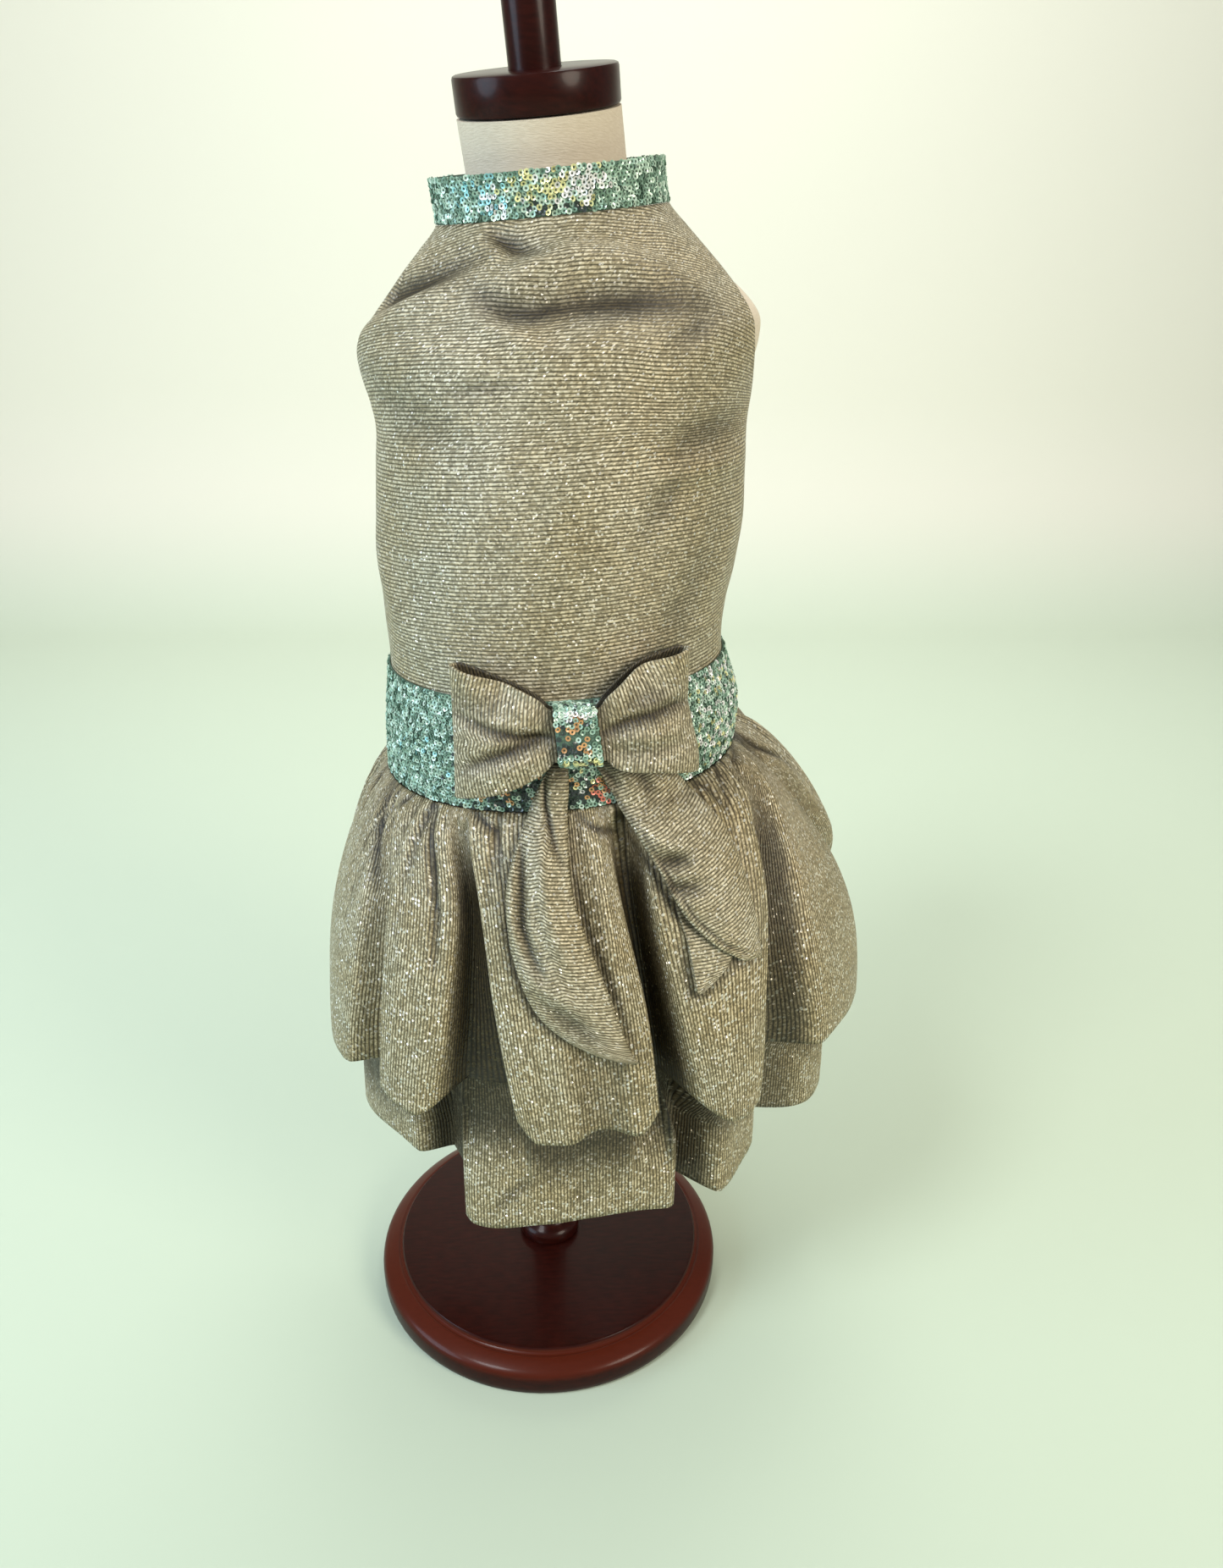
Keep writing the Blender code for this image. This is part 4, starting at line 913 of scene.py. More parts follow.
# %% Skirt tiers
ROW_CROWDING, SKIRT_ARC, SEAM_HOLD = 1.25, 2.1, 0.02
UPPER_ROOM, LOWER_ROOM = 3.6, 1.6
RIPPLE, RIPPLE_RATE, RIPPLE_DRIFT, RIPPLE_DRIFT_RATE = 0.45, 2.9, 2.0, 0.23
RIPPLE_REACH, RIPPLE_START = 0.22, 0.05


def ripple(azimuth, level):
    """Shallow ripples of a tier, which fade out below the seam."""
    wave = np.sin(azimuth * RIPPLE_RATE + RIPPLE_DRIFT * np.sin(azimuth * RIPPLE_DRIFT_RATE))
    return RIPPLE * wave * np.exp(-level / RIPPLE_REACH) * smooth_step(level / RIPPLE_START)


def tier_points(out_of, rows, length, reach, folds, shades, run, creases):
    """A tier's points, and its painted shade."""
    strands = make_strands()
    upper = folds is UPPER_FOLDS
    room = UPPER_ROOM if upper else LOWER_ROOM
    lines, painted_shades = [], []
    for down in length * np.linspace(0.0, 1.0, rows + 1) ** ROW_CROWDING:
        mains = cloth_lines(down)
        azimuth = np.interp(strands, np.arange(len(mains)), mains)
        level = down * read_curve(SKIRT_SIZES, LENGTH_COLUMNS, reach, azimuth)
        inward, dark = crease_shape(creases, azimuth, level * tier_length(azimuth), SKIRT_ARC)
        under_hem = np.zeros_like(level) if upper else hem_shade(azimuth, level)
        painted_shades.append(np.maximum.reduce([valley_shade(folds, shades, azimuth, level, run), dark,
                                          gather_shade(azimuth, level), under_hem]))
        free = 1.0 if upper else smooth_step((level - 1.0) / LOWER_FREE_SPAN)
        out = (out_of(azimuth, level) - np.abs(ripple(azimuth, level))
               - np.minimum(inward, room) * smooth_step(level / SEAM_HOLD))
        lines.append(skirt_place(azimuth, level, out, free * hem_lift(folds, azimuth, level, run)))
    return np.array(lines), np.array(painted_shades)


points, painted_shades = tier_points(upper_out, 64, 1.0, "reach_upper", UPPER_FOLDS, UPPER_SHADES,
                              1.0, UPPER_CREASES + TAIL_CONTACT_SHADOWS)
lay_sheet("skirt_upper_knit", points, skirt_knit, ribs="down", pitch_row=46, painted_shade=painted_shades)
points, painted_shades = tier_points(lower_out, 80, LOWER_REACH, "reach_lower", LOWER_FOLDS,
                              LOWER_SHADES, LOWER_RUN, LOWER_CREASES)
lay_sheet("skirt_lower_knit", points, skirt_knit, ribs="down", pitch_row=72, painted_shade=painted_shades)

# %% [markdown]
# ## The bow and its tails
# A bow tied from a wide strip has two pinched loops and two hanging tails. Each loop is a band
# that runs out from the knot, turns and comes back, with creases that start at the pinch. The
# tails lie over the belt and the skirt. All could be sculpted by hand, but a formula keeps both
# sides of a loop apart and each tail just off the cloth that it lies on.

# %% Loops of the bow
BOW_AZIMUTH, BOW_HEIGHT, BOW_RADIUS = 3.6, 466.0, 110.0
LOOP_START, LOOP_LENGTH, LOOP_STAND_OFF = 0.2, 63.0, 3.2
LOOP_PINCH_HEIGHT, LOOP_PINCH_DEPTH, LOOP_DEPTH = 27.2, 6.6, 16.0
LOOP_NEAR_BLUNTNESS, LOOP_FAR_BLUNTNESS = 0.35, 0.7
LOOP_OPENING, LOOP_WIDENING, LOOP_NECK, LOOP_CLOSING = 30.0, 46.0, 13.6, 0.7
LOOP_TURNS, LOOP_ROWS, LOOP_CORE = 110, 48, 11.0
CLOSING_EDGE, CLOSING_SPAN, CLOSING_END, CLOSING_FADE = 0.1, 1.1, 56.0, 24.0
PLEAT_START, PLEAT_GROWTH = 8.0, 14.0
PINCH_SHADE, PINCH_END, PINCH_FADE, INSIDE_SHADE = 0.6, 20.0, 8.0, 0.9
KNOT_WIDTH, KNOT_HEIGHT, KNOT_DEPTH, KNOT_MIDDLE, KNOT_SQUARENESS = 21.0, 32.0, 15.0, 8.0, 0.6


def bow_point(along, out, height):
    """Points at mm along the belt from the knot's middle, out from the belt, at a height."""
    azimuth = BOW_AZIMUTH + np.degrees(along / BOW_RADIUS)
    place = cloth_point(azimuth, height, SEAM_GAP + SEQUIN_WALL + out)
    place[..., 2] = height
    return place


# Creases of the loops' front, in mm from the knot's middle and above the bow's middle.
LOOP_CREASES = {
    "bow_loop_left": (
        (2.6, 3.2, 1.0, ((6, -1), (12, -1), (27, -0.5), (43, 3), (60, 10))),
        (3.2, 3.4, 1.0, ((6, -1), (17, -1), (30, -6), (43, -12), (57, -19))),
        (-1.8, 6.0, 0.0, ((10, 6), (26, 12), (46, 20))),
        (-1.6, 5.0, 0.0, ((14, -8), (30, -15), (50, -26))),
        (1.2, 6.0, 0.35, ((34, 18), (50, 12), (60, 20))),
    ),
    "bow_loop_right": (
        (3.4, 3.4, 1.0, ((6, 0), (12, 0), (27, 6), (40, 9), (53, 12), (62, 12))),
        (0.0, 6.0, 0.6, ((24, 12), (36, 16), (50, 17))),
        (-2.0, 6.0, 0.0, ((12, 10), (26, 22), (44, 30))),
        (-1.6, 5.0, 0.0, ((10, -3), (30, -2), (52, 0))),
        (1.4, 5.0, 0.35, ((10, -7), (30, -9), (50, -8))),
    ),
}


def loop_points(name, side, rise, end_height, growth):
    """A loop's band, from the knot out and back, and its painted shade in creases, at the pinch and
    inside.
    """
    turn, across = np.meshgrid(np.linspace(0.0, 2.0 * np.pi, LOOP_TURNS + 1),
                               np.linspace(-1.0, 1.0, LOOP_ROWS + 1))
    run = 0.5 - 0.5 * np.cos(turn)
    along = LOOP_START + (LOOP_LENGTH - LOOP_START) * run
    opened = smooth_step((along - KNOT_WIDTH / 2.0) / LOOP_OPENING)
    depth = LOOP_PINCH_DEPTH + (LOOP_DEPTH - LOOP_PINCH_DEPTH) * opened
    wide = np.clip((along - LOOP_NECK) / LOOP_WIDENING, 0.0, 1.0) ** growth
    height = LOOP_PINCH_HEIGHT + (end_height - LOOP_PINCH_HEIGHT) * wide
    bluntness = (LOOP_NEAR_BLUNTNESS
                 + (LOOP_FAR_BLUNTNESS - LOOP_NEAR_BLUNTNESS) * smooth_step(2.0 * run))
    swell = np.abs(np.sin(turn)) ** bluntness * np.where(turn < np.pi, 1.0, -1.0)
    level = across * height / 2.0 + rise * opened
    front = smooth_step(3.0 * np.sin(turn))
    inward, dark = crease_shape(LOOP_CREASES[name], along, level)
    middle = KNOT_MIDDLE + (LOOP_STAND_OFF + LOOP_DEPTH / 2.0 - KNOT_MIDDLE) * opened
    closed = (LOOP_CLOSING * smooth_step((across + CLOSING_EDGE) / CLOSING_SPAN)
              * smooth_step((CLOSING_END - along) / CLOSING_FADE))
    lean_back = closed * opened * (depth / 2.0 * (1.0 + swell))
    out = (middle + depth / 2.0 * swell - lean_back
           - inward * front * smooth_step((along - PLEAT_START) / PLEAT_GROWTH))
    pinched = PINCH_SHADE * smooth_step((PINCH_END - along) / PINCH_FADE)
    inside = INSIDE_SHADE * smooth_step(-3.0 * np.sin(turn))
    painted_shade = np.maximum.reduce([dark * front, pinched, inside])
    return bow_point(side * along, out, BOW_HEIGHT + level), painted_shade


LOOPS = (
    # name, side, rise of its end, height of its end in mm, how fast it widens
    ("bow_loop_left", -1.0, -1.5, 70.0, 0.6),
    ("bow_loop_right", 1.0, 7.0, 66.0, 0.5),
)
for name, side, rise, end_height, growth in LOOPS:
    centre = bow_point(np.array(side * LOOP_LENGTH / 2.0), np.array(LOOP_CORE),
                       np.array(BOW_HEIGHT))
    points, painted_shade = loop_points(name, side, rise, end_height, growth)
    lay_sheet(name + "_knit", points, knit, ribs="down", ring=True, centre=centre, painted_shade=painted_shade)

# %% Edges of the tails
# Each tail's edges run down from the belt: a height, and the azimuths of its two edges there.
TAIL_COLUMNS = ("height", "left_edge", "right_edge")
TAIL_LEFT = (
    (449.0, -4.0, 0.4),
    (432.0, -8.4, 0.8),
    (412.0, -11.6, 0.6),
    (388.0, -14.0, 1.2),
    (362.0, -13.0, 4.2),
    (340.0, -10.4, 7.4),
    (320.0, -6.4, 10.0),
    (306.0, -0.4, 11.6),
    (296.0, 7.0, 13.0),
    (290.0, 13.2, 14.4),
)
TAIL_RIGHT = (
    (449.0, 7.4, 17.0),
    (436.0, 11.6, 33.0),
    (414.0, 17.0, 40.0),
    (391.0, 22.0, 41.6),
    (368.0, 26.0, 41.6),
    (350.0, 31.6, 41.2),
    (339.0, 37.0, 41.0),
)
TAIL_RIGHT_UNDER = (
    (372.0, 25.2, 37.0),
    (352.0, 26.4, 37.0),
    (336.0, 27.0, 34.0),
    (324.0, 27.4, 28.4),
)


def drape_point(azimuth, height, out):
    """Points over the belt and the upper tier's crests, which a tail lies on."""
    seam = torso_point("cloth", azimuth, WAIST_HEIGHT)[..., 2]
    on_belt = cloth_point(azimuth, height, SEAM_GAP + SEQUIN_WALL + out)
    fall = np.maximum(seam - height, 0.0) / tier_length(azimuth)
    on_skirt = skirt_place(azimuth, fall, upper_out(azimuth, fall, folded=False) + out)
    place = np.where((height >= seam)[..., None], on_belt, on_skirt)
    place[..., 2] = height
    return place


# Creases of the tails, as those of the bodice.
TAIL_CREASES = {
    "tail_left": (
        (2.6, 1.6, 1.0, ((-6.5, 449), (-6.2, 441), (-5.4, 425), (-4.0, 416), (-2.6, 407),
                         (-1.0, 399))),
        (4.0, 2.6, 1.0, ((-11, 408), (-10.6, 400), (-10.2, 386), (-9.8, 368), (-7.6, 354),
                         (-5.0, 343))),
        (-2.0, 3.0, 0.0, ((-13, 412), (-13, 394), (-12.6, 373), (-11, 360))),
        (-3.5, 5.0, 0.0, ((-6.5, 416), (-5.0, 395), (-3.0, 370), (1.0, 345))),
        (-3.0, 8.0, 0.0, ((-8, 347), (-4, 337), (2, 326))),
        (2.0, 5.0, 0.6, ((-5, 330), (1, 318), (6, 306))),
    ),
    "tail_right": (
        (3.2, 5.0, 0.95, ((21.5, 400), (25.0, 397), (29, 399))),
        (3.0, 4.5, 0.9, ((21.0, 388), (25.0, 383), (30.0, 384))),
        (2.4, 4.0, 0.8, ((9, 449), (12, 440), (15, 432))),
        (2.0, 4.0, 0.7, ((19, 446), (22, 436), (25, 426))),
        (-2.5, 7.0, 0.0, ((16, 425), (22, 410), (31, 400))),
        (1.0, 0.9, 0.9, ((9.8, 443), (13.0, 434), (18.4, 414), (23.4, 391), (27.6, 368),
                         (33.2, 351), (37.8, 343))),
    ),
    "tail_right_under": ((1.0, 8.0, 0.8, ((24, 368), (30, 362), (38, 354))),),
}

# %% Tails of the bow
TAIL_ROWS, TAIL_STRANDS, TAIL_ARC = 96, 28, 2.35
BULGE_ACROSS, BULGE_DOWN, EDGE_MARGIN, TAIL_TOP_SHADE, TAIL_TOP = 0.6, 0.5, 0.06, 0.8, 0.12


def tail_points(name, table, lift, bulge):
    """A tail's points over what it lies on, and its painted shade in creases and under the knot."""
    down, across = np.meshgrid(np.linspace(0.0, 1.0, TAIL_ROWS + 1),
                               np.linspace(0.0, 1.0, TAIL_STRANDS + 1), indexing="ij")
    height = table[0][0] + (table[-1][0] - table[0][0]) * down
    falling = tuple(sorted(table))
    left = read_curve(falling, TAIL_COLUMNS, "left_edge", height)
    right = read_curve(falling, TAIL_COLUMNS, "right_edge", height)
    azimuth = left + (right - left) * across
    inward, dark = crease_shape(TAIL_CREASES[name], azimuth, height, TAIL_ARC)
    swell = (np.sin(np.pi * across) ** BULGE_ACROSS * bulge
             * np.sin(np.pi * down) ** BULGE_DOWN)
    clear = LAYER_GAP + (lift - LAYER_GAP) * smooth_step(3.0 * down)
    held = (np.minimum(swell + clear, inward) * smooth_step(across / EDGE_MARGIN)
            * smooth_step((1.0 - across) / EDGE_MARGIN))
    top = TAIL_TOP_SHADE * smooth_step((TAIL_TOP - down) / TAIL_TOP)
    points = drape_point(azimuth, height, clear + KNIT_THICKNESS + swell - held)
    return points, np.maximum(dark, top)


TAILS = (
    # name, its edges, how far it lifts off the skirt, how far its middle bulges
    ("tail_left", TAIL_LEFT, 2.5, 6.0),
    ("tail_right", TAIL_RIGHT, 5.0, 4.5),
    ("tail_right_under", TAIL_RIGHT_UNDER, 1.5, 0.0),
)
for name, table, lift, bulge in TAILS:
    points, painted_shade = tail_points(name, table, lift, bulge)
    lay_sheet(name + "_knit", points, knit, ribs="across", painted_shade=painted_shade)

# %% [markdown]
# ## Sequined cloth
# Collar, belt and knot are strips of net covered with small ring sequins. Each ring is a thin
# washer, 3 mm wide with a hole for its thread. They overlap in rows and none lies quite flat,
# so each catches the light on its own. One ring is modelled and then copied, with a small
# random tilt, onto every place of a staggered grid, as one joined mesh for each strip. Each
# ring also gets painted light and shade, and patches of painted glints stand in for the
# reflections of the iridescent rings.

# %% Materials of the sequined strips
NET_SCALE, SEQUIN_COAT, SEQUIN_COAT_ROUGHNESS = 900.0, 0.5, 0.12
material, tree, shader = start_material("green_net", 0.8)
cloth_map = wire(tree, "ShaderNodeUVMap", uv_map="cloth").outputs[0]
threads = wire(tree, "ShaderNodeTexVoronoi", cloth_map, voronoi_dimensions="2D")
threads.inputs["Scale"].default_value = NET_SCALE
tree.links.new(blend_colour(tree, threads.outputs["Distance"], paint(52, 74, 60),
                            paint(96, 124, 106)), shader.inputs["Base Color"])
net = material

material, tree, shader = start_material("mint_sequins", 0.3, 0.2)
tint = wire(tree, "ShaderNodeAttribute", attribute_name="sequin").outputs["Color"]
tree.links.new(tint, shader.inputs["Base Color"])
shader.inputs["Coat Weight"].default_value = SEQUIN_COAT
shader.inputs["Coat Roughness"].default_value = SEQUIN_COAT_ROUGHNESS
sequin_finish = material
print("materials of the strips:", net.name, "and", sequin_finish.name)

# %% Making and copying a ring sequin
SEQUIN_RADIUS, SEQUIN_HOLE, SEQUIN_CUP, SEQUIN_SIDES = 1.5, 0.52, 0.22, 8
SEQUIN_STEP, SEQUIN_ROW, SEQUIN_SAG, PLACE_STEP = 2.5, 2.2, 0.12, 0.4
SCATTER_ROUND, SCATTER_UP, LEAST_STAND, MOST_STAND = 0.16, 0.22, 0.35, 0.75
GLINT_LEAST, GLINT_RANGE = 0.7, 0.5
# Painted light on each ring: a painted highlight on its rim, painted shade at its hole and on its
# underside.
RING_PAINTED_LIGHT = np.repeat((1.2, 0.6, 0.8), SEQUIN_SIDES)  # rim, hole and underside
MINT_DARK, MINT, MINT_LIGHT = (np.array(paint(*c)[:3]) for c in
                               ((100, 134, 116), (154, 188, 168), (206, 228, 212)))
# Colours of the painted glints, reflections of the iridescent rings; slate is painted shade.
GLINT_COLOURS = {name: np.array(paint(*c)[:3]) for name, c in (
    ("aqua", (168, 236, 244)), ("white", (250, 252, 250)), ("yellow", (222, 220, 160)),
    ("pink", (214, 120, 100)), ("slate", (52, 62, 62)), ("orange", (206, 156, 104)))}


def ring_shape():
    """One ring sequin: its outer rim, its hole and the middle of its underside."""
    angle = np.arange(SEQUIN_SIDES) * 2.0 * np.pi / SEQUIN_SIDES
    circle = np.stack((np.cos(angle), np.sin(angle)), axis=-1)
    rings = ((SEQUIN_RADIUS, SEQUIN_CUP), (SEQUIN_HOLE, 0.0),
             ((SEQUIN_RADIUS + SEQUIN_HOLE) / 2.0, -SEQUIN_SAG))
    corners = np.concatenate([np.column_stack((circle * radius, np.full(SEQUIN_SIDES, height)))
                              for radius, height in rings])
    faces = []
    for side in range(SEQUIN_SIDES):
        after = (side + 1) % SEQUIN_SIDES
        for first, second in ((0, 1), (1, 2), (2, 0)):
            faces.append((first * SEQUIN_SIDES + side, first * SEQUIN_SIDES + after,
                          second * SEQUIN_SIDES + after, second * SEQUIN_SIDES + side))
    return corners, np.array(faces)


def frames_on(surface, azimuth, height):
    """Places, sideways directions and normals of a surface of azimuth and height."""
    place = surface(azimuth, height)
    sideways = unit(surface(azimuth + PLACE_STEP, height) - surface(azimuth - PLACE_STEP, height))
    rising = surface(azimuth, height + PLACE_STEP) - surface(azimuth, height - PLACE_STEP)
    return place, sideways, unit(np.cross(sideways, rising))


def sequin_colours(azimuth, height, glints, draw):
    """Mint rings of random tone, with patches of painted glints, and of painted shade, round given
    places.
    """
    tone = draw.random(len(azimuth))[:, None]
    colours = np.where(tone < 0.5, MINT_DARK + (MINT - MINT_DARK) * tone * 2.0,
                       MINT + (MINT_LIGHT - MINT) * (tone * 2.0 - 1.0))
    for at, level, reach, rise, name, amount in glints:
        away = ((azimuth - at) / reach) ** 2 + ((height - level) / rise) ** 2
        lit = (draw.random(len(azimuth)) < amount * np.exp(-away))[:, None]
        colours = np.where(lit, GLINT_COLOURS[name] * (GLINT_LEAST + GLINT_RANGE * tone), colours)
    return np.clip(colours, 0.0, 1.0)


def sew_sequins(name, surface, azimuth, height, glints, tilt=16.0, seed=1):
    """A joined mesh of ring sequins at given azimuths and heights of a surface."""
    draw = np.random.default_rng(seed)
    azimuth = azimuth + draw.normal(0.0, SCATTER_ROUND, azimuth.shape)
    height = height + draw.normal(0.0, SCATTER_UP, height.shape)
    place, sideways, normal = frames_on(surface, azimuth, height)
    lean = np.radians(draw.normal(0.0, tilt, (len(azimuth), 2)))
    upward = np.cross(normal, sideways)
    normal = unit(normal + sideways * np.tan(lean[:, :1]) + upward * np.tan(lean[:, 1:]))
    sideways = unit(np.cross(upward, normal))
    upward = np.cross(normal, sideways)
    place = place + normal * draw.uniform(LEAST_STAND, MOST_STAND, (len(azimuth), 1))
    corners, faces = ring_shape()
    points = (place[:, None] + corners[None, :, :1] * sideways[:, None]
              + corners[None, :, 1:2] * upward[:, None] + corners[None, :, 2:] * normal[:, None])
    index = (np.arange(len(azimuth))[:, None, None] * len(corners) + faces[None]).reshape(-1, 4)
    mesh = bpy.data.meshes.new(name)
    mesh.from_pydata((points.reshape(-1, 3) * MM).tolist(), [], index.tolist())
    colours = sequin_colours(azimuth, height, glints, draw)[:, None] * RING_PAINTED_LIGHT[None, :, None]
    colours = np.clip(colours.reshape(-1, 3), 0.0, 1.0)
    layer = mesh.color_attributes.new("sequin", "FLOAT_COLOR", "POINT")
    layer.data.foreach_set("color", np.column_stack((colours, np.ones(len(colours)))).ravel())
    piece = bpy.data.objects.new(name, mesh)
    scene.collection.objects.link(piece)
    mesh.materials.append(sequin_finish)
    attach(piece, "root")
    pieces[name] = piece
    print(name, len(azimuth), "sequins,", len(mesh.polygons) * 2, "triangles")


def staggered(start, end, foot, top, radius):
    """A staggered grid of azimuths and heights over a strip."""
    rows = int((top - foot) // SEQUIN_ROW) + 1
    step = math.degrees(SEQUIN_STEP / radius)
    count = int((end - start) / step)
    azimuth, height = np.meshgrid(np.arange(count), np.arange(rows))
    azimuth = start + (azimuth + 0.5 * (height % 2)) * (end - start) / count
    return azimuth.ravel(), (foot + (top - foot) * height / (rows - 1)).ravel()


# %% Collar and belt
NET_THICKNESS, COLLAR_MIDDLE = 0.8, (8.0, 12.0, 724.0)
COLLAR_RADIUS, BELT_RADIUS = 60.8, 106.0
COLLAR_LOWEST, COLLAR_HIGHEST = COLLAR_FOOT + 1.2, COLLAR_TOP - 1.0
BELT_LOWEST, BELT_HIGHEST = BELT_FOOT + 1.4, BELT_TOP - 1.4


def strip_points(surface, foot, top, columns, rows):
    """Points of a strip that goes all round."""
    azimuth, height = np.meshgrid(np.linspace(0.0, 360.0, columns + 1),
                                  np.linspace(foot, top, rows + 1))
    return surface(azimuth, height)


def collar_face(azimuth, height):
    """The collar's outer face."""
    return torso_point("cloth", azimuth, height)


def belt_face(azimuth, height):
    """The belt's outer face, which lies over the bodice."""
    return cloth_point(azimuth, height, SEAM_GAP + NET_THICKNESS)


lay_sheet("collar_net", strip_points(collar_face, COLLAR_FOOT, COLLAR_TOP, 160, 10), net,
          thickness=NET_THICKNESS, ring=True, centre=COLLAR_MIDDLE)
lay_sheet("belt_net", strip_points(belt_face, BELT_FOOT, BELT_TOP, 200, 24), net,
          thickness=NET_THICKNESS, ring=True)
# Painted glints, reflections of the iridescent rings, with slate as painted shade: azimuth and
# height, reach across and up, colour, share of the rings at the middle.
COLLAR_GLINTS = (
    (-30, 724, 12, 9, "aqua", 0.6), (-26, 718, 8, 6, "white", 0.35),
    (0, 726, 14, 9, "yellow", 0.8), (12, 727, 12, 7, "white", 0.8), (6, 716, 10, 4, "slate", 0.3),
    (150, 724, 14, 9, "aqua", 0.6), (190, 724, 12, 9, "yellow", 0.5),
    (240, 724, 8, 8, "white", 0.5),
)
BELT_GLINTS = (
    (-17, 430, 12, 10, "slate", 0.9), (5, 432, 9, 9, "slate", 0.85),
    (-30, 450, 3, 14, "slate", 0.5), (-46, 446, 8, 9, "aqua", 0.12),
    (5, 437, 7, 4, "yellow", 0.45), (3, 436, 7, 5, "white", 0.25),
    (9, 430, 6, 6, "orange", 0.4), (12, 430, 5, 6, "pink", 0.2), (-15, 428, 9, 6, "orange", 0.3),
    (60, 450, 20, 30, "yellow", 0.2), (60, 450, 24, 30, "white", 0.3),
    (140, 450, 12, 20, "aqua", 0.3), (200, 450, 12, 20, "yellow", 0.3),
    (250, 450, 12, 20, "white", 0.2),
)
azimuth, height = staggered(0.0, 360.0, COLLAR_LOWEST, COLLAR_HIGHEST, COLLAR_RADIUS)
sew_sequins("collar_sequins", collar_face, (azimuth + 180.0) % 360.0 - 180.0, height,
            COLLAR_GLINTS, seed=3)
for name, start_at, seed in (("belt_sequins_back", -90.0, 5), ("belt_sequins_belly", 90.0, 7)):
    azimuth, height = staggered(start_at, start_at + 180.0, BELT_LOWEST, BELT_HIGHEST, BELT_RADIUS)
    sew_sequins(name, belt_face, azimuth, height, BELT_GLINTS, seed=seed)

# %% Knot of the bow
KNOT_INSET, KNOT_TURNS, KNOT_COLUMNS, KNOT_REACH = 0.6, 80, 10, 10.4
KNOT_SEEN, KNOT_ROW_TURN, KNOT_SEWN, KNOT_STEP, KNOT_TILT = 96.0, 8.0, 9.2, 2.3, 14.0


def knot_face(turn, along):
    """The knot's outer face, by its turn in degrees and the place along the belt."""
    angle = -np.radians(turn)
    squared_out = np.abs(np.cos(angle)) ** KNOT_SQUARENESS * np.sign(np.cos(angle))
    squared_up = np.abs(np.sin(angle)) ** KNOT_SQUARENESS * np.sign(np.sin(angle))
    return bow_point(along, KNOT_MIDDLE + (KNOT_DEPTH / 2.0 - KNOT_INSET) * squared_out,
                     BOW_HEIGHT + (KNOT_HEIGHT / 2.0 - KNOT_INSET) * squared_up)


turn, along = np.meshgrid(np.linspace(0.0, 360.0, KNOT_TURNS + 1),
                          np.linspace(-KNOT_REACH, KNOT_REACH, KNOT_COLUMNS + 1))
lay_sheet("bow_knot_net", knot_face(turn, along), net, thickness=NET_THICKNESS, ring=True,
          centre=bow_point(np.array(0.0), np.array(KNOT_MIDDLE), np.array(BOW_HEIGHT)))
# Painted glints of the knot, with slate as painted shade: turn and place along, their reaches,
# colour, share of the rings.
KNOT_GLINTS = ((45, 0, 16, 12, "yellow", 0.8), (10, -6, 22, 7, "slate", 0.85),
               (-10, -1, 20, 6, "orange", 0.6), (60, 5, 20, 5, "slate", 0.5),
               (-40, 0, 14, 12, "white", 0.35), (-70, 4, 20, 8, "slate", 0.4))
turn, along = np.meshgrid(np.arange(-KNOT_SEEN, KNOT_SEEN + 1.0, KNOT_ROW_TURN),
                          np.arange(-KNOT_SEWN, KNOT_SEWN + 0.1, KNOT_STEP))
turn = turn + KNOT_ROW_TURN / 2.0 * (np.arange(turn.shape[0]) % 2)[:, None]
sew_sequins("bow_knot_sequins", knot_face, turn.ravel(), along.ravel(), KNOT_GLINTS,
            tilt=KNOT_TILT, seed=11)

# %% [markdown]
# ## The form and its stand
# The form is covered in plain woven linen. It isn't round, so it can't be turned as the stand
# is. Its cover is a grid on the same sections as the dress, but smaller, closed at both ends.
# The stand is turned wood, stained a dark red brown and varnished. A lathe cuts it from one
# profile, and the Screw modifier does the same: it spins each profile round its axis.

# %% Linen of the form
WEAVE_STRETCH, SLUB_SCALE, STAIN_SCALE, STAIN = (500.0, 500.0, 2600.0), 0.6, 14.0, 0.5
LINEN_RELIEF = 0.0002
material, tree, shader = start_material("form_linen", 0.85)
place = wire(tree, "ShaderNodeTexCoord").outputs["Object"]
stretched = wire(tree, "ShaderNodeVectorMath", place, WEAVE_STRETCH,
                 operation="MULTIPLY").outputs[0]
slubs = wire(tree, "ShaderNodeTexNoise", stretched)
slubs.inputs["Scale"].default_value = SLUB_SCALE
stains = wire(tree, "ShaderNodeTexNoise", place)
stains.inputs["Scale"].default_value = STAIN_SCALE
linen = blend_colour(tree, slubs.outputs[0], paint(191, 180, 159), paint(219, 211, 194))
linen = blend_colour(tree, calc(tree, "MULTIPLY", stains.outputs[0], STAIN), linen,
                     paint(226, 205, 188), "MULTIPLY")
tree.links.new(linen, shader.inputs["Base Color"])
bump = wire(tree, "ShaderNodeBump")
bump.inputs["Distance"].default_value = LINEN_RELIEF
tree.links.new(slubs.outputs[0], bump.inputs["Height"])
tree.links.new(bump.outputs[0], shader.inputs["Normal"])
form_linen = material

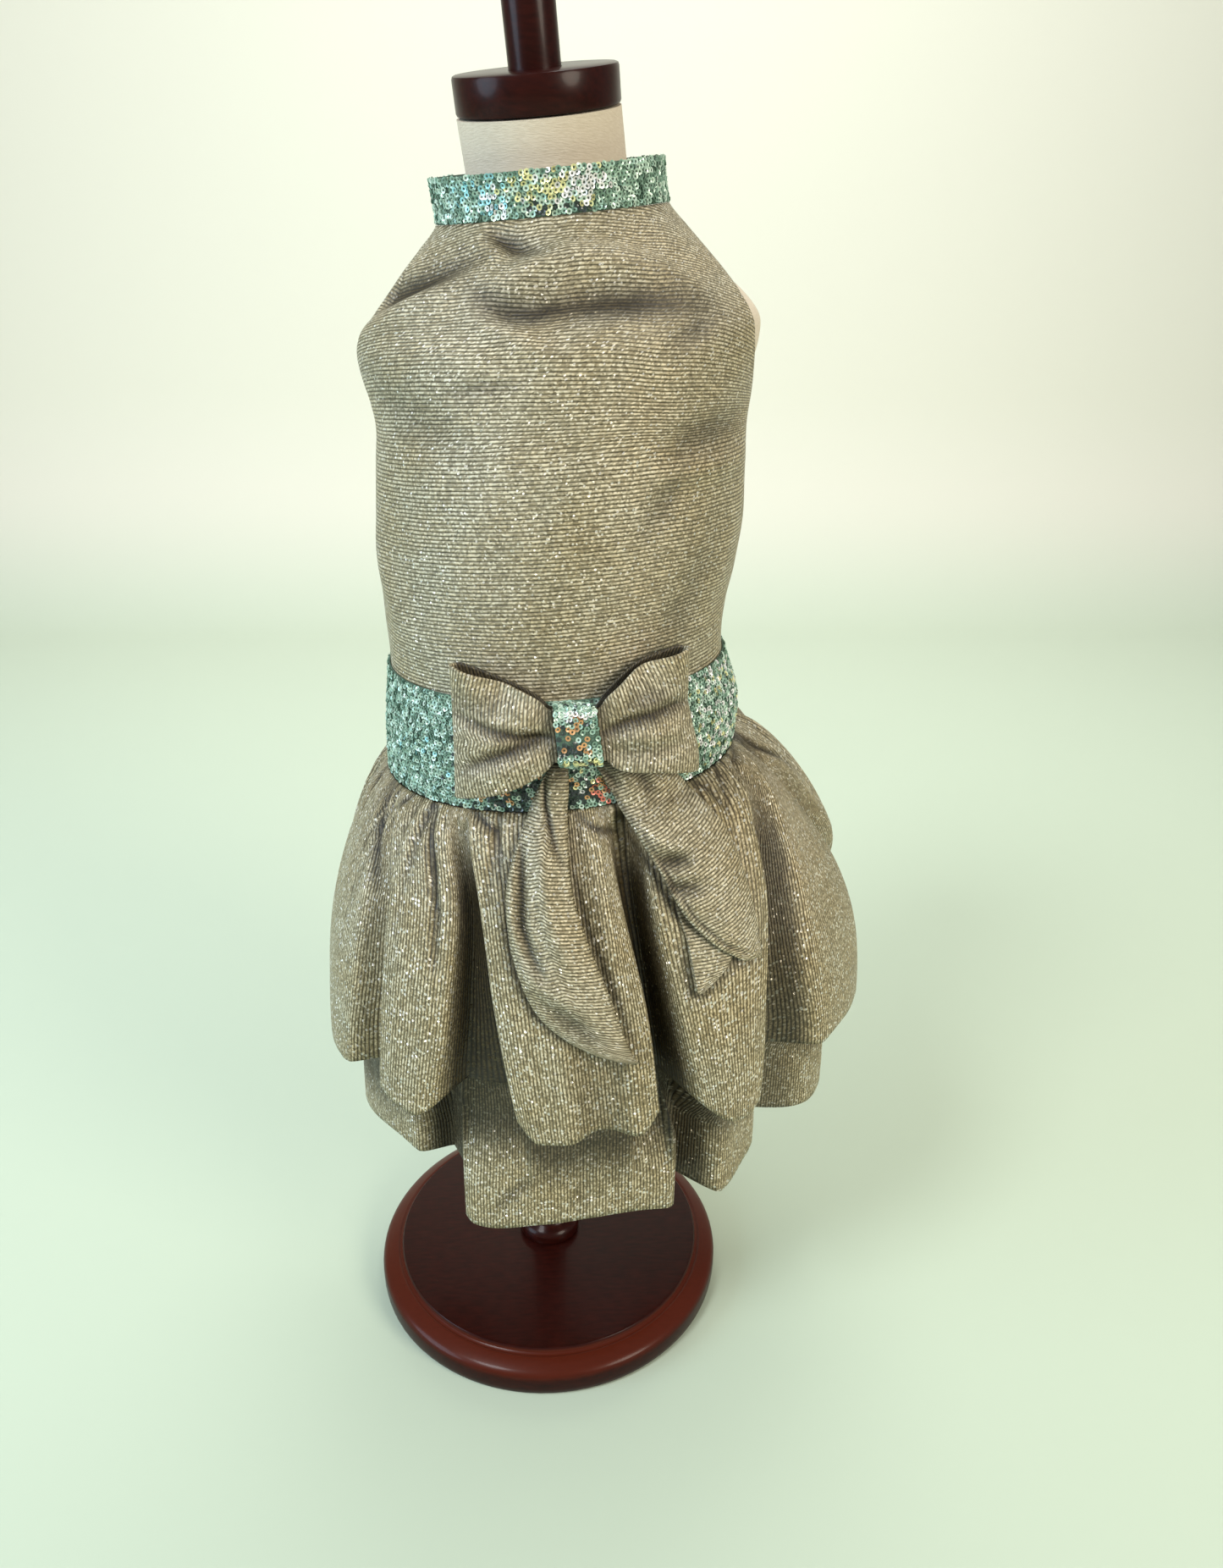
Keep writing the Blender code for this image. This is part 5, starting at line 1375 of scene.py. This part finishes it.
# %% The form's smooth cover
FORM_TURNS, FORM_STEPS, FORM_MIDDLE, FORM_CREASE = 128, 7, (11.0, 6.0, 560.0), 40.0
levels = [row[0] for row in SECTIONS]
heights = np.unique(np.concatenate([np.linspace(low, high, FORM_STEPS)
                                    for low, high in zip(levels, levels[1:])]))
azimuth, height = np.meshgrid(np.linspace(0.0, 360.0, FORM_TURNS + 1), heights)
piece, column, row = add_grid("form_cover", FORM_TURNS, len(heights) - 1)
points = torso_point("form", azimuth, height)
piece.data.vertices.foreach_set("co", (points[row, column] * MM).ravel())
turn_outward(piece, FORM_MIDDLE)
weld()
bpy.ops.object.mode_set(mode="EDIT")
bpy.ops.mesh.select_all(action="DESELECT")
bpy.ops.mesh.select_non_manifold()
bpy.ops.mesh.edge_face_add()
bpy.ops.object.mode_set(mode="OBJECT")
bpy.ops.object.shade_smooth_by_angle(angle=math.radians(FORM_CREASE))
piece.data.materials.append(form_linen)
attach(piece, "root")
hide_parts("form")
pieces["form_cover"] = piece
print("form_cover", len(piece.data.polygons), "faces")

# %% Stained wood
GRAIN_STRETCH, GRAIN_DETAIL = (18.0, 90.0, 90.0), 6.0
# The base's rounded edge and bevel get a painted highlight, lighter between two heights.
BEVEL_FOOT, BEVEL_TOP, BEVEL_HIGHLIGHT = (0.012, 0.018), (0.0262, 0.0238), 0.45
material, tree, shader = start_material("stained_wood", 0.3)
place = wire(tree, "ShaderNodeTexCoord").outputs["Object"]
stretched = wire(tree, "ShaderNodeVectorMath", place, GRAIN_STRETCH,
                 operation="MULTIPLY").outputs[0]
grain = wire(tree, "ShaderNodeTexNoise", stretched)
grain.inputs["Detail"].default_value = GRAIN_DETAIL
high = wire(tree, "ShaderNodeSeparateXYZ", place).outputs[2]
# Painted highlight on the base's edge and bevel.
bevel = calc(tree, "MULTIPLY", step_up(tree, high, *BEVEL_FOOT), step_up(tree, high, *BEVEL_TOP))
wood = blend_colour(tree, grain.outputs[0], paint(16, 5, 5), paint(54, 17, 11))
wood = blend_colour(tree, calc(tree, "MULTIPLY", bevel, BEVEL_HIGHLIGHT), wood, paint(98, 38, 20))
tree.links.new(wood, shader.inputs["Base Color"])
shader.inputs["Specular IOR Level"].default_value = 0.1
shader.inputs["Coat Weight"].default_value = 0.08
shader.inputs["Coat Roughness"].default_value = 0.12
wood_finish = material

# %% Turned pieces of the stand
# Each profile is a row of radius and height in mm, from the axis out and back to it.
TURNED_SIDES, TURNED_CREASE = 96, 32.0
BASE_PROFILE = (
    (0.0, 0.0), (121.0, 0.0), (123.4, 1.0), (124.6, 3.0), (125.0, 6.0), (125.0, 13.4),
    (124.6, 15.4), (123.2, 17.5), (121.0, 18.9), (114.2, 22.5), (113.2, 22.7), (112.4, 22.4),
    (111.6, 22.6), (110.6, 23.4), (110.2, 25.2), (109.4, 26.2), (107.4, 26.6), (0.0, 26.6),
)
POLE_PROFILE = (
    (0.0, 26.9), (20.6, 26.9), (21.5, 27.7), (22.0, 29.6), (22.0, 33.4), (21.2, 35.4), (19.2, 37.6),
    (16.4, 39.2), (14.6, 41.2), (13.6, 43.6), (13.3, 47.0), (13.3, 340.0), (20.0, 346.0),
    (20.0, 353.7), (0.0, 353.7),
)
CAP_TOP = Vector((0.0, 0.0, 776.5))
CAP_NORMAL = Vector((-0.104, -0.225, 1.0)).normalized()
CAP_PROFILE = (
    (0.0, -17.9), (40.4, -17.9), (41.6, -17.4), (42.1, -16.2), (42.1, -1.8), (41.6, -0.5),
    (40.4, 0.0), (13.7, 0.0), (13.7, -6.0), (0.0, -6.0),
)
ROD_PROFILE = (
    (0.0, -5.7), (13.3, -5.7), (13.3, 46.0), (12.9, 48.2), (11.6, 50.2), (9.6, 51.5),
    (7.3, 52.0), (0.0, 52.0),
)


def turn_piece(name, profile, solid, tilted=False):
    """A turned piece: a profile of radius and height, spun round its axis."""
    mesh = bpy.data.meshes.new(name)
    mesh.from_pydata([(radius * MM, 0.0, height * MM) for radius, height in profile],
                     [(index, index + 1) for index in range(len(profile) - 1)], [])
    piece = bpy.data.objects.new(name, mesh)
    scene.collection.objects.link(piece)
    bpy.ops.object.select_all(action="DESELECT")
    piece.select_set(True)
    bpy.context.view_layer.objects.active = piece
    spin = piece.modifiers.new("Turning", "SCREW")
    spin.steps = spin.render_steps = TURNED_SIDES
    spin.use_merge_vertices, spin.merge_threshold = True, WELD_REACH
    bpy.ops.object.modifier_apply(modifier=spin.name)
    bpy.ops.object.mode_set(mode="EDIT")
    bpy.ops.mesh.select_all(action="SELECT")
    bpy.ops.mesh.normals_make_consistent(inside=False)
    bpy.ops.object.mode_set(mode="OBJECT")
    if tilted:
        lean = CAP_NORMAL.to_track_quat("Z", "Y").to_matrix().to_4x4()
        mesh.transform(Matrix.Translation(CAP_TOP * MM) @ lean)
    bpy.ops.object.shade_smooth_by_angle(angle=math.radians(TURNED_CREASE))
    mesh.materials.append(wood_finish)
    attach(piece, "root")
    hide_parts(solid)
    pieces[name] = piece
    print(name, len(mesh.polygons), "faces")


turn_piece("base_turned", BASE_PROFILE, "base")
turn_piece("pole_turned", POLE_PROFILE, "pole")
turn_piece("neck_cap_turned", CAP_PROFILE, "neck_cap", tilted=True)
turn_piece("top_rod_turned", ROD_PROFILE, "top_rod", tilted=True)

# %% [markdown]
# ## Names for the solids, and the cut of each sheet
# Each piece is shown in place of a CAD solid, which is hidden. A table names that solid and
# lists the flat size that each sheet would be cut to, and how it is held. The sizes could be
# guessed from the solids, but here they were measured along the finished pieces.

# %% Hide the solid that each piece stands for; the table lists how each sheet was cut
SHEETS = (
    # piece, solid, slot, flat width, flat length, area, held, rests on, pieces on it
    ("bodice_back_knit", "bodice_back", "knit", 0.35, 0.31, 0.096, "stretched", "form_cover", ()),
    ("bodice_belly_knit", "bodice_belly", "knit", 0.31, 0.31, 0.078, "stretched", "form_cover",
     ()),
    ("skirt_upper_knit", "skirt_upper", "knit", 0.88, 0.20, 0.149, "gathered",
     "bodice_back_knit", ()),
    ("skirt_lower_knit", "skirt_lower", "knit", 0.80, 0.28, 0.181, "gathered",
     "bodice_back_knit", ()),
    ("bow_loop_left_knit", "bow_loop_left", "knit", 0.130, 0.068, 0.0068, "folded", "belt_net", ()),
    ("bow_loop_right_knit", "bow_loop_right", "knit", 0.130, 0.068, 0.0068, "folded", "belt_net",
     ()),
    ("tail_left_knit", "tail_left", "knit", 0.046, 0.190, 0.0064, "draped", "skirt_upper_knit", ()),
    ("tail_right_knit", "tail_right", "knit", 0.060, 0.135, 0.0052, "draped", "skirt_upper_knit",
     ()),
    ("tail_right_under_knit", "tail_right_under", "knit", 0.040, 0.055, 0.0013, "draped",
     "skirt_upper_knit", ()),
    ("collar_net", "collar", "sequins", 0.385, 0.022, None, "stretched", "form_cover",
     ("collar_sequins",)),
    ("belt_net", "belt", "sequins", 0.675, 0.060, None, "stretched", "bodice_back_knit",
     ("belt_sequins_back", "belt_sequins_belly")),
    ("bow_knot_net", "bow_knot", "sequins", 0.080, 0.026, None, "stretched", "belt_net",
     ("bow_knot_sequins",)),
)
print("sheets:", len(SHEETS))
for name, solid, slot, width, length, area, held, rest, extra in SHEETS:
    piece = pieces[name]
    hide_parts(solid)
